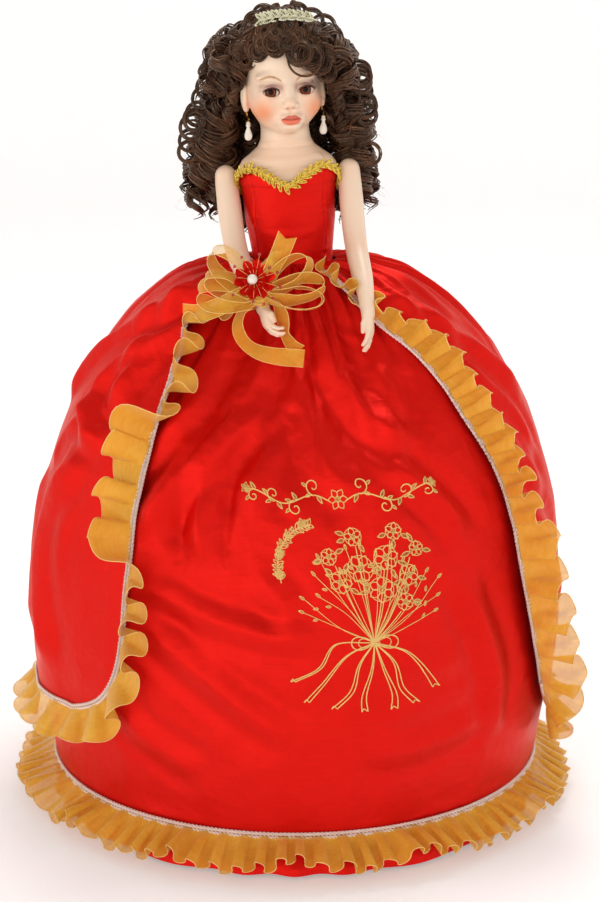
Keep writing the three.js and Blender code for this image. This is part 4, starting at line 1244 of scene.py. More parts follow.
def arm_pieces(bisque):
    for side in ("right", "left"):
        field, line, tips = arm_field(side)
        low, high = line.min(0) - [11, 12, 12], line.max(0) + [11, 11, 10]
        axes = [np.arange(a, b, 0.62) for a, b in zip(low, high)]
        points, quads = mesh_field(field, axes, reach=4.5)
        near = np.exp(-((np.linalg.norm(points[:, None] - tips[None], axis=-1).min(1) / 3.2) ** 2))
        top = smooth01((454 - points[:, 2]) / 10)
        colour = blend(np.tile(np.array(BISQUE), (len(points), 1)), rgb(236, 178, 146), 0.45 * near)
        # The top of each arm, where it meets the shoulder plate, is painted darker: painted shade.
        colour = blend(colour, rgb(236, 192, 160), 0.25 * (1 - top))
        behind = smooth01((points[:, 1] - line[len(line) // 2, 1] + 6) / 8)
        elbow = np.exp(-(((points[:, 2] - 404) / 9) ** 2)) * behind
        colour = blend(colour, rgb(232, 176, 142), 0.3 * elbow)
        make("bisque_arm_" + side, lean(points), quads, bisque, "arm_" + side, colours=colour,
             stands_for=["arm_" + side])


# ---------- hair ----------
def hair_material():
    n = Nodes("curled hair", Roughness=0.27, Specular_IOR_Level=0.8, Specular_Tint=(1.0, 0.72, 0.5, 1),
              Sheen_Weight=0.12, Sheen_Tint=(0.9, 0.55, 0.35, 1))
    streak = n.streaks(n.uv, (1.0, 0.055, 1.0), 3.0, 0.65)
    fibre = n.streaks(n.uv, (14.0, 0.3, 1.0), 2.0)
    cloud = n.noise(55.0, 2.0, 0.5, n.place)
    # The light tan end of the ramp is painted highlight, streaked along the strands at random. The darker browns
    # are the hair's own tone.
    tone = n.ramp(n.math("ADD", n.math("MULTIPLY", streak, 0.7), n.math("MULTIPLY", cloud, 0.35)),
                  [(0.34, rgb(18, 9, 6)), (0.5, rgb(48, 26, 17)), (0.62, rgb(88, 53, 35)),
                   (0.78, rgb(168, 120, 84))])
    n.link(n.mix(n.math("MULTIPLY", fibre, 0.28), tone, rgb(30, 16, 11)), "Base Color")
    n.bump(fibre, 0.4, 0.0003)
    return n.material


class Hair(Batch):
    """Locks of hair, each a bundle of tapered strands."""

    def __init__(self, seed):
        super().__init__()
        self.r = np.random.default_rng(seed)
        self.any = self.r.uniform

    def hand(self):
        """Which way a curl winds."""
        return self.r.choice([-1, 1])

    def lock(self, path, strands, wide, deep, radius, ref=(0, 1, 0), sides=4, tip=0.35, root=0.5):
        """Strands side by side along a path, wide across it and deep along ref."""
        n = len(path)
        t = np.linspace(0, 1, n)
        tangent = unit(np.gradient(path, axis=0))
        side = unit(np.cross(np.array(ref, float), tangent) + 1e-6)
        up = np.cross(tangent, side)
        gather = (root + (1 - root) * smooth01(t / 0.2)) * (tip + (1 - tip) * smooth01((1 - t) / 0.3))
        for k in range(strands):
            a = (k + 0.5) / strands * 2 - 1 + self.r.uniform(-0.15, 0.15)
            b = self.r.uniform(-1, 1)
            wave = 0.25 * np.sin(2 * math.pi * (t * self.r.uniform(1, 2.5) + self.r.random()))
            over = side * ((a + wave * 0.5) * wide / 2 * gather)[:, None]
            line = path + over + up * ((b + wave) * deep / 2 * gather)[:, None]
            keep = slice(0, n - int(self.r.integers(0, max(2, n // 12))))
            size = radius * self.r.uniform(0.75, 1.15) * (0.45 + 0.55 * smooth01((1 - t) / 0.12))
            self.tube(line[keep], size[keep], sides, uv_shift=self.r.uniform(0, 9000))

    def ringlet(self, points, coil, pitch, strands=8, wide=6.5, radius=0.55, count=64, hand=1):
        """A lock wound round an axis drawn through a few points."""
        axis, length = resample(spline(points, 60), 1.0)
        t = np.linspace(0, 1, count)
        axis = np.stack([np.interp(t, np.linspace(0, 1, len(axis)), axis[:, k]) for k in range(3)], 1)
        tangent = unit(np.gradient(axis, axis=0))
        side = unit(np.cross(tangent, [0.0, 1.0, 0.2]))
        deep = np.cross(tangent, side)
        phase = self.r.uniform(0, 2 * math.pi) + hand * 2 * math.pi * length[-1] * t**1.1 / pitch
        size = coil * (0.15 + 0.85 * smooth01(t / 0.3)) * (1 - 0.25 * smooth01((t - 0.75) / 0.25))
        gather = (0.5 + 0.5 * smooth01(t / 0.25)) * (0.35 + 0.65 * smooth01((1 - t) / 0.25))
        for k in range(strands):
            shift = ((k + 0.5) / strands - 0.5 + self.r.uniform(-0.04, 0.04)) * wide * gather
            turn = phase + self.r.uniform(-0.25, 0.25)
            out = size * (1 + self.r.uniform(-0.1, 0.1) + 0.06 * np.sin(5 * t + k))
            round_axis = np.cos(turn)[:, None] * side + np.sin(turn)[:, None] * deep
            line = axis + tangent * shift[:, None] + out[:, None] * round_axis
            keep = slice(0, count - int(self.r.integers(0, 7)))
            thick = radius * self.r.uniform(0.8, 1.15) * (0.4 + 0.6 * smooth01((1 - t) / 0.1))
            self.tube(line[keep], thick[keep], 4, uv_shift=self.r.uniform(0, 9000))

    def curl(self, start, centre, r0, r1, turns, strands, wide, deep, radius, begin=90.0, hand=1, tilt=0.25):
        """A lock that leaves start and winds into a flat spiral facing forward."""
        t = np.linspace(0, 1, 46)
        angle = math.radians(begin) + hand * 2 * math.pi * turns * t
        r = r0 + (r1 - r0) * t**0.8
        c = np.array(centre, float)
        spiral = c + np.stack([r * np.cos(angle), tilt * r * np.sin(angle) - 1.5 * t, r * np.sin(angle)], -1)
        lead = spline([start, (np.array(start) + spiral[0]) / 2 + [0, -2.5, 1.5], spiral[0]], 14)[:-1]
        self.lock(np.concatenate([lead, spiral]), strands, wide, deep, radius)


HAIR = np.array([-10.2, 2.0, 522.0])  # the middle of the hair, which leans with the body


def crown_point(azimuth, down, lift=0.0):
    """A point on the rounded top of the hair. Azimuth 0 is to the front, and down is from straight up."""
    flare = smooth01(down / 1.5)
    rx, ry, rz = 29 + 15 * flare + lift, 33 + 8 * flare + lift, 41.5 - 1.5 * flare + lift
    return stacked(HAIR[0] + rx * np.sin(down) * np.sin(azimuth),
                   HAIR[1] - ry * np.sin(down) * np.cos(azimuth), HAIR[2] + rz * np.cos(down))


def hair_pieces():
    dark = hair_material()

    # The wig's base, cut at the hairline.
    az = turn_round(120)
    degrees = np.abs(np.degrees(az))
    line = np.interp(degrees, [0, 22, 40, 62, 80, 100, 180], [23, 22, 17, -3, -12, -26, -40])
    top = 39.6
    t = np.linspace(0.02, 1, 40)[:, None]
    z = top - (top - line) * t**1.7
    wide = np.sqrt(np.clip(1 - ((z - 8) / 31.6) ** 2, 0.02, 1))
    low = np.sqrt(np.clip(1 - ((z + 9) / 29) ** 2, 0.05, 1))
    r = np.where(z > 8, wide, np.maximum(np.where(z > -8, 1.0, low), 0.62))
    ripple = 1 + 0.012 * np.sin(40 * az + z)
    base = np.stack([31.2 * r * np.sin(az) * ripple, 4 - 32.6 * r * np.cos(az) * ripple, z + 0 * az], -1)
    batch = Batch()
    batch.add(head_out(base), True, stacked(az * 40, z * 1.0))
    batch.make("wig_base", dark, "hair", "doll", ["wig_crown"])

    # Waves combed over the crown.
    hair = Hair(21)
    for k in range(150):
        a = hair.any(-math.pi, math.pi)
        front = math.exp(-((a / 0.85) ** 2))
        begin = hair.any(0.05, 0.35) + 0.1 * front
        end = (1.55 - 0.75 * front) * hair.any(0.8, 1.05)
        t = np.linspace(0, 1, 36)
        down = begin + (end - begin) * t
        wave = hair.any(0.05, 0.12) * np.sin(2 * math.pi * (t * hair.any(1.5, 3) + hair.r.random()))
        lift = hair.any(-3.5, 1.5) + 2.2 * np.sin(2 * math.pi * (t * 2.2 + hair.r.random()))
        path = crown_point(a + wave + 0.1 * hair.any(-1, 1) * t, down, lift)
        ref = unit(path[18] - HAIR)
        hair.lock(path, strands=7, wide=6.5, deep=2.6, radius=0.5, ref=ref)
    hair.make("crown_waves", dark, "hair", "doll")

    # Ringlets at each side, then shorter ones over the side of the crown.
    for side, s, x_end, x_up, low, name in (("right", -1, 87, 62, 399, "wig_curls_right"),
                                            ("left", 1, 65, 51, 411, "wig_curls_left")):
        hair = Hair(40 + s)
        for k in range(34):
            share = hair.r.random() ** 0.8
            depth = hair.any(4, 36)
            root_z = 536 - 40 * share - hair.any(0, 8)
            root = [HAIR[0] + s * hair.any(24, 36), depth * 0.8 - 4, root_z]
            far = hair.r.random() ** 0.7
            x1 = s * (34 + (x_end - 42) * far * (0.55 + 0.45 * (1 - abs(share - 0.5))))
            z1 = low + 5 + hair.any(0, 30) + (1 - share) * 46 * hair.r.random()
            mid_x = root[0] * 0.45 + x1 * 0.55 + s * hair.any(3, 9)
            points = [root, [root[0] + s * hair.any(6, 14), depth - 2, root_z - 10],
                      [mid_x, depth + 2, (root_z + z1) / 2], [x1, max(depth, 9) + hair.any(-2, 4), z1]]
            hair.ringlet(points, coil=hair.any(6.0, 9.0), pitch=hair.any(17, 24), strands=9, wide=8,
                         hand=hair.hand())
        hair.make("ringlets_" + side, dark, "hair", "doll", [name])
        hair = Hair(60 + s)
        for k in range(24):
            a = s * hair.any(0.95, 1.9)
            start = crown_point(a, hair.any(0.5, 1.1), 0)
            end = crown_point(a + hair.any(-0.2, 0.2), hair.any(1.45, 1.95), hair.any(0, 9))
            mid = (start + end) / 2 + [s * hair.any(2, 8), 0, 2]
            hair.ringlet([start, mid, end], coil=hair.any(5, 8.5), pitch=hair.any(18, 26), count=50,
                         strands=9, wide=8, hand=hair.hand())
        # Open loops that stand away from the side.
        for k in range(9):
            z0 = hair.any(455, 535)
            edge = s * np.interp(z0, [400, 430, 480, 522, 545], [60, x_end - 8, x_end - 14, x_up - 6, 34])
            hair.curl([edge * 0.62, hair.any(0, 20), z0 + 8], [edge, hair.any(0, 22), z0], hair.any(7, 10), 5,
                      turns=hair.any(0.9, 1.4), strands=5, wide=2.4, deep=2, radius=0.5, begin=90 + s * 30,
                      hand=-s)
        hair.make("side_curls_" + side, dark, "hair", "doll")

    hair = Hair(77)
    for k in range(48):
        x = hair.any(-52, 40)
        depth = hair.any(26, 44)
        root = [-8 + (x + 6) * 0.6, hair.any(26, 38), hair.any(500, 532)]
        points = [root, [x * 0.9 - 1, depth, 485], [x, depth + 1, 445], [x, depth - 2, hair.any(404, 424)]]
        hair.ringlet(points, coil=hair.any(5.4, 8.0), pitch=hair.any(17, 24), hand=hair.hand(), count=70,
                     strands=8, wide=8)
    hair.make("ringlets_back", dark, "hair", "doll", ["wig_curls_back"])

    # The fringe: small curls in front of the headband, then loose curls and two thin loops below it.
    hair = Hair(90)
    for k in range(46):
        x = hair.any(-40, 24)
        edge = abs(x + 9) / 33
        z = hair.any(541, 551) - 12 * edge**2
        y = -31 + 13 * edge**2 + hair.any(-1.5, 3)
        hair.curl([x * 0.92 + hair.any(-4, 4), y + 10, z + 9 + hair.any(0, 4)], [x, y, z], hair.any(3.4, 6),
                  2.2, turns=hair.any(0.9, 1.5), strands=6, wide=3.6, deep=2.4, radius=0.46,
                  begin=hair.any(60, 120), hand=hair.hand())
    # Loose curls over the forehead, the largest above the left eye.
    for start, centre, r0, r1, turns, strands, begin, hand in (
        ((-2, -23, 553), (3.5, -35.5, 537.5), 8.6, 5.6, 1.3, 8, 128, 1),
        ((6, -22, 552), (11.0, -34.0, 534.5), 8.0, 4.6, 1.3, 8, 118, 1),
        ((14, -20, 550), (17.0, -30.5, 530.5), 7.6, 4.2, 1.2, 8, 108, 1),
        ((20, -17, 547), (21.5, -26.5, 524.0), 6.6, 3.6, 1.2, 7, 100, 1),
        ((-6, -23, 554), (-5.0, -34.5, 543.6), 6.0, 3.0, 1.2, 7, 120, -1),
        ((-18, -24, 553), (-14.0, -33.4, 542.6), 6.4, 3.6, 1.1, 7, 100, 1),
        ((-28, -22, 549), (-25.5, -29.5, 538.0), 6.6, 3.4, 1.2, 7, 96, -1),
        ((-35, -18, 544), (-34.0, -23.0, 531.5), 6.4, 3.4, 1.2, 7, 92, -1),
    ):
        for layer in range(2):
            at = np.array(centre) + [0.9 * layer, 1.6 * layer, -0.8 * layer]
            hair.curl(start, at, r0 - 0.9 * layer, r1, turns - 0.15 * layer, strands, wide=4.6 - layer,
                      deep=3.4, radius=0.46, begin=begin + 24 * layer, hand=hand, tilt=0.4)
    hair.curl([-8, -23, 553], [7.0, -36.5, 533.0], 12.0, 10.6, turns=0.55, strands=3, wide=1.2, deep=1.0,
              radius=0.42, begin=160, hand=1)
    hair.curl([-22, -23, 552], [-12.6, -34.2, 540.5], 6.6, 5.4, turns=0.95, strands=5, wide=1.5, deep=1.4,
              radius=0.42, begin=150, hand=1)
    for s, x, count in ((-1, -36, 12), (1, 21, 9)):  # locks that frame the temples
        for k in range(count):
            z = 545 - 3.1 * k
            start = [x - 9 * s * (1 - k / count), -25 + 1.2 * k, z + 9]
            points = [start, [x + s * 1.5 + s * 0.25 * k, -27 + 1.5 * k, z - 2],
                      [x + s * (3 + 0.55 * k), -22 + 1.5 * k, z - 16],
                      [x + s * (7 + 0.7 * k), -14 + 1.2 * k, z - 27]]
            hair.ringlet(points, coil=hair.any(2.2, 4.2), pitch=15, strands=7, wide=6, radius=0.48, count=44,
                         hand=hair.hand())
    hair.make("fringe", dark, "hair", "doll", ["wig_fringe"])

    # Loops that stand up on the crown, and single stray hairs.
    hair = Hair(120)
    for x, y, z, r, begin in ((-28, -8, 560, 7, 40), (-22, 0, 563, 8, 60), (-12, 4, 565, 6, 90),
                              (2, 0, 564, 8, 120), (12, -4, 560, 9, 150),
                              (20, 0, 556, 9, 160), (26, 2, 548, 9, 190), (-36, 2, 552, 8, 20),
                              (-4, 10, 566, 7, 70)):
        hair.curl([x * 0.7 - 2, y + 8, z - 9], [x, y, z - 4], r, r * 0.6, turns=hair.any(0.7, 1.2), strands=6,
                  wide=3.2, deep=2.6, radius=0.42, begin=begin, hand=1 if x < -8 else -1)
    for k in range(150):
        a, z0 = hair.any(-math.pi, math.pi), hair.any(432, 560)
        reach = np.interp(z0, [400, 430, 480, 522, 545, 562], [56, 72, 66, 52, 38, 22]) - 6
        start = np.array([-9 + reach * math.sin(a),
                          14 - 0.55 * reach * math.cos(a) * (1 if z0 > 500 else -0.4), z0])
        out = np.array([math.sin(a), -0.6 * math.cos(a), hair.any(-0.8, 0.6)])
        bend = np.cross(out, hair.any(-1, 1, 3))
        t = np.linspace(0, 1, 16)[:, None]
        path = start + out * 13 * t + bend * 8 * np.sin(3.4 * t) + [0, 0, -5] * t**2
        hair.tube(path, 0.13 * (1.1 - t[:, 0]), 3, uv_shift=hair.any(0, 9000))
    hair.make("crown_loops_and_strays", dark, "hair", "doll")


# ---------- bodice, braid and small trims ----------
def body_point(az, z, out):
    """Points on the upright upper body."""
    r, d = along(BODY_LINE, z), along(PLATE_DEPTH, z)
    return np.stack([(r + out) * np.sin(az), -(r * d + out) * np.cos(az), z + 0 * az], -1)


def bodice_top(az):
    a = np.abs((az + math.pi) % (2 * math.pi) - math.pi)
    fine = np.linspace(-0.4, math.pi, 400)
    table = [[0, 445], [0.15, 448], [0.4, 455], [0.75, 459.5], [1.1, 454], [1.57, 444], [2.2, 440],
             [math.pi, 438]]
    return np.interp(a, fine, blur(np.interp(np.abs(fine), *np.array(table).T), 6))


def bodice_relief(az, z):
    """Princess seams with their pucker, and the drag lines between them."""
    low = smooth01((z - 392) / 70)
    total = np.zeros(np.broadcast(az, z).shape)
    for seam in (-0.86, 0.86, -2.35, 2.35, math.pi):
        at = seam * (1.1 - 0.16 * low) if abs(seam) < 3 else seam
        d = ((az - at + math.pi) % (2 * math.pi) - math.pi) * 29
        wobble = np.sin(z / 0.95 + 2 * np.sin(z / 7 + seam)) * (0.5 + 0.5 * np.sin(z / 5.3 + seam * 3))
        total += -0.55 * np.exp(-((d / 0.55) ** 2)) + 0.28 * wobble * np.exp(-((np.abs(d) - 1.6) ** 2) / 2.2)
        drag = 0.5 * np.sin(z / 4.4 + 0.12 * d + seam) * np.exp(-((d - 7 * np.sign(seam)) ** 2) / 30)
        total += drag * (0.4 + 0.6 * np.sin(z / 11 + 1))
    under_bust = 0.55 * np.exp(-(((z - 424 + 12 * np.cos(az)) / 3.4) ** 2)) * np.cos(az * 1.3) ** 2
    total += under_bust * (np.cos(az) > 0)
    total += 0.4 * np.sin(z / 3.1 + 3 * np.sin(az * 2)) * smooth01((402 - z) / 9)
    return total


def slender(batch, path, radius, sides=5):
    batch.tube(np.asarray(path, float), radius, sides)


def leaf_loop(batch, base, go, across, long, wide, radius, fill=0):
    """A padded loop of thread in a leaf's outline, with fill turns of thread over it."""
    t = np.linspace(0, 2 * math.pi, 15)[:, None]
    loop = base + go * long * (1 - np.cos(t)) / 2 + across * wide / 2 * np.sin(t) * (0.7 + 0.3 * np.cos(t))
    slender(batch, loop, radius)
    for k in range(fill):
        u = (k + 0.7) / (fill + 0.5)
        half = wide / 2 * math.sin(math.pi * u) ** 0.8
        up = np.cross(go, across)
        arc = np.linspace(-1, 1, 5)[:, None]
        slender(batch, base + go * long * u + across * half * arc + up * 0.55 * (1 - arc**2), radius * 0.8, 4)


def bodice_pieces(red):
    nu, rows = 420, 110
    az = turn_round(nu)[None, :]
    share = np.linspace(0, 1, rows)[:, None]
    z = 391.5 + (bodice_top(az) + 0.5 - 391.5) * share
    out = 2.2 + 1.15 * bodice_relief(az, z) * smooth01((1 - share) / 0.04)
    uv = stacked(az * 0.03, z * MM).reshape(-1, 2)
    make("bodice_shell", lean(body_point(az, z, out)), grid_faces(nu, rows, True), red, "doll",
         uv, stands_for=["bodice"])
    z = np.linspace(384.5, 392.5, 14)[:, None]
    tuck = 0.35 * np.cos(58 * az + np.sin(9 * az)) * np.linspace(1, 0.1, 14)[:, None]
    r = 27.0 + tuck + 1.2 * np.sin(np.linspace(0, math.pi, 14))[:, None]
    band = stacked(r * np.sin(az), -r * 0.74 * np.cos(az), z)
    make("waist_seam_band", lean(band), grid_faces(nu, 14, True), red, "doll",
         stacked(az * 0.03, z * MM).reshape(-1, 2), stands_for=["waistband"])

    gold = thread("metallic gold thread", rgb(255, 234, 112), rgb(240, 184, 40), roughness=0.2, metallic=0.5,
                  pitch=1400.0)
    az = np.linspace(-math.pi, math.pi, 1200)
    path = body_point(az, bodice_top(az) + 0.4, 2.6)
    path, _ = resample(path, 0.6)
    out = unit(path * [1, 1, 0])
    tangent, across, out = path_frame(path, out)
    batch = Batch()
    for k in range(0, len(path) - 9, 8):
        for s in (-1, 1):
            for high, long in ((0.2, 6.4), (1.5, 3.8)):
                go = unit(tangent[k] * 0.75 + across[k] * s * (0.6 + 0.15 * high) + out[k] * 0.3)
                leaf_loop(batch, path[k] + out[k] * high, go, np.cross(go, out[k]), long, 0.52 * long, radius=0.52,
                          fill=1)
    for k in range(2):
        wave = np.sin(np.arange(len(path)) * 0.55 + math.pi * k)[:, None]
        slender(batch, path + across * 0.9 * wave + out * (1.5 + 0.4 * wave), 0.5)
    batch.make("gimp_braid", gold, "gold_braid", "doll", ["neckline_braid"], lean)

    # The leaf trim across the front of the hair.
    pale = thread("pale gold thread", rgb(255, 253, 232), rgb(204, 194, 124), roughness=0.26, metallic=0.1,
                  pitch=1400.0)
    x = np.linspace(-22, 15, 60)
    path = np.stack([x, -27.5 + 0.012 * (x + 4) ** 2, 560.5 - 0.0085 * (x + 4) ** 2], 1)
    path, _ = resample(path, 0.5)
    tangent, across, out = path_frame(path, np.tile([0, -0.8, 0.6], (len(path), 1)))
    batch = Batch()
    for k in range(3, len(path) - 3, 11):
        for s in (-1, 1):
            for lift, long, wide in ((0.0, 7.6, 4.2), (2.0, 4.6, 2.4)):
                splay = across[k] * s * (0.55 + 0.1 * lift)
                go = unit(-tangent[k] * 0.8 + splay + out[k] * (0.3 + 0.2 * lift))
                leaf_loop(batch, path[k] + out[k] * lift, go, np.cross(go, out[k]), long, wide, 0.5, fill=5)
    slender(batch, path + out * 0.4, 0.6)
    batch.make("leaf_headband", pale, "gold_braid", "doll", ["headband"])


def lathe(profile, centre, sides=32):
    """A ring for each (radius, height) of a profile, round an upright axis through centre."""
    profile = np.array(profile, float)
    a = np.linspace(0, 2 * math.pi, sides, endpoint=False)[None]
    return stacked(profile[:, :1] * np.cos(a), profile[:, :1] * np.sin(a), profile[:, 1:]) + centre


DROP = [(0.01, 16), (1.0, 15.9), (1.9, 15.3), (2.5, 14.2), (2.72, 13), (2.55, 11.6), (2.0, 9.8), (1.35, 8.2),
        (1.05, 7.2),
        (1.1, 6.6), (1.6, 6.2), (1.75, 5.7), (1.55, 5.2), (1.05, 4.9), (1.3, 4.5), (1.5, 4.1), (1.3, 3.6),
        (0.8, 3.2), (0.35, 2.8)]


def pearl_material():
    n = Nodes("pearl", Roughness=0.22, Specular_IOR_Level=0.6, Coat_Weight=0.7, Coat_Roughness=0.08,
              Sheen_Weight=0.3, Sheen_Tint=(1.0, 0.8, 0.75, 1))
    n.link(n.mix(n.noise(120.0, 3.0, 0.6, n.place), rgb(214, 202, 186), rgb(238, 230, 218)), "Base Color")
    n.bump(n.noise(900.0, 2.0, 0.5, n.place), 0.06, 0.0001)
    return n.material


def metal(name, colour, worn, roughness, scale=400.0):
    n = Nodes(name, Metallic=1.0, Roughness=roughness)
    brushed = n.streaks(n.place, (scale, scale, scale * 0.08))
    n.link(n.mix(brushed, colour, worn), "Base Color")
    n.link(n.math("MULTIPLY_ADD", brushed, 0.25, roughness - 0.1), "Roughness")
    n.bump(brushed, 0.15, 0.0001)
    return n.material


def earring_pieces(pearl, wire):
    for side in ("right", "left"):
        low, high = mm("earring_" + side)
        centre = (low + high) / 2
        batch = Batch()
        batch.add(lathe([(r, high[2] + 0.1 - fall) for r, fall in DROP], [centre[0], centre[1], 0])[::-1],
                  True)
        batch.make("pearl_drop_" + side, pearl, "pearl", "earring_" + side, ["earring_" + side])
        batch = Batch()
        t = np.linspace(0, 2 * math.pi, 20)[:, None]
        top = np.array([centre[0], centre[1], high[2]])
        slender(batch, top + [0, 0, -0.9] + np.hstack([0 * t, 0.75 * np.cos(t), 0.75 * np.sin(t)]), 0.16)
        slender(batch, [top + [0, 0, -1.6], top + [0, 0, -2.2], top + [0, 0, -2.9]], 0.22)
        batch.add(lathe([(0.5, top[2] - 2.5), (0.9, top[2] - 2.8), (1.0, top[2] - 3.3), (0.6, top[2] - 3.6)],
                        [top[0], top[1], 0])[::-1], True)
        batch.make("earring_link_" + side, wire, "gold_wire", "earring_" + side)


# ---------- the corsage on the right wrist ----------
def ribbon(batch, threads, path, facing, wide, seed, curl=0.5, notch=0.0):
    """A strip of organza along a path, its width turned by facing, with a thread in each edge."""
    path, length = resample(np.asarray(path, float), 1.1)
    n = len(path)
    t = np.linspace(0, 1, n)
    facing = np.array([np.interp(t, np.linspace(0, 1, len(facing)), np.array(facing, float)[:, k])
                       for k in range(3)]).T
    tangent = unit(np.gradient(path, axis=0))
    across = unit(facing - (facing * tangent).sum(1)[:, None] * tangent)
    up = np.cross(tangent, across)
    v = np.linspace(-1, 1, 9)
    width = (wide / 2) * (0.35 + 0.65 * smooth01(length / 9))
    ripple = value_noise(n, max(4, int(length[-1] / 9)), seed, False)
    strip = path[None] + across[None] * width[None, :, None] * v[:, None, None]
    strip = strip + up[None] * (curl * (v[:, None] ** 2 - 0.4) + 0.9 * ripple[None] * v[:, None])[..., None]
    if notch:
        cut = smooth01((length - length[-1] + notch) / notch)
        strip = strip - tangent[None] * (notch * 0.8 * cut[None] * (1 - np.abs(v[:, None])))[..., None]
    uv = stacked((length * MM)[None, :], v[:, None] * wide * MM / 2)
    batch.add(strip, uv=uv)
    for edge in (0, -1):
        slender(threads, strip[edge], 0.26)


def loop_path(knot, go, across, long, wide, depth=0.0):
    """A teardrop out from the knot and back."""
    t = np.linspace(0.02, 1.98, 40)[:, None] * math.pi
    out = (1 - np.cos(t)) / 2
    sideways = across * wide / 2 * np.sin(t) * np.sin(t / 2) ** 0.8
    return knot + go * long * out + sideways + np.array([0, -1, 0]) * depth * out


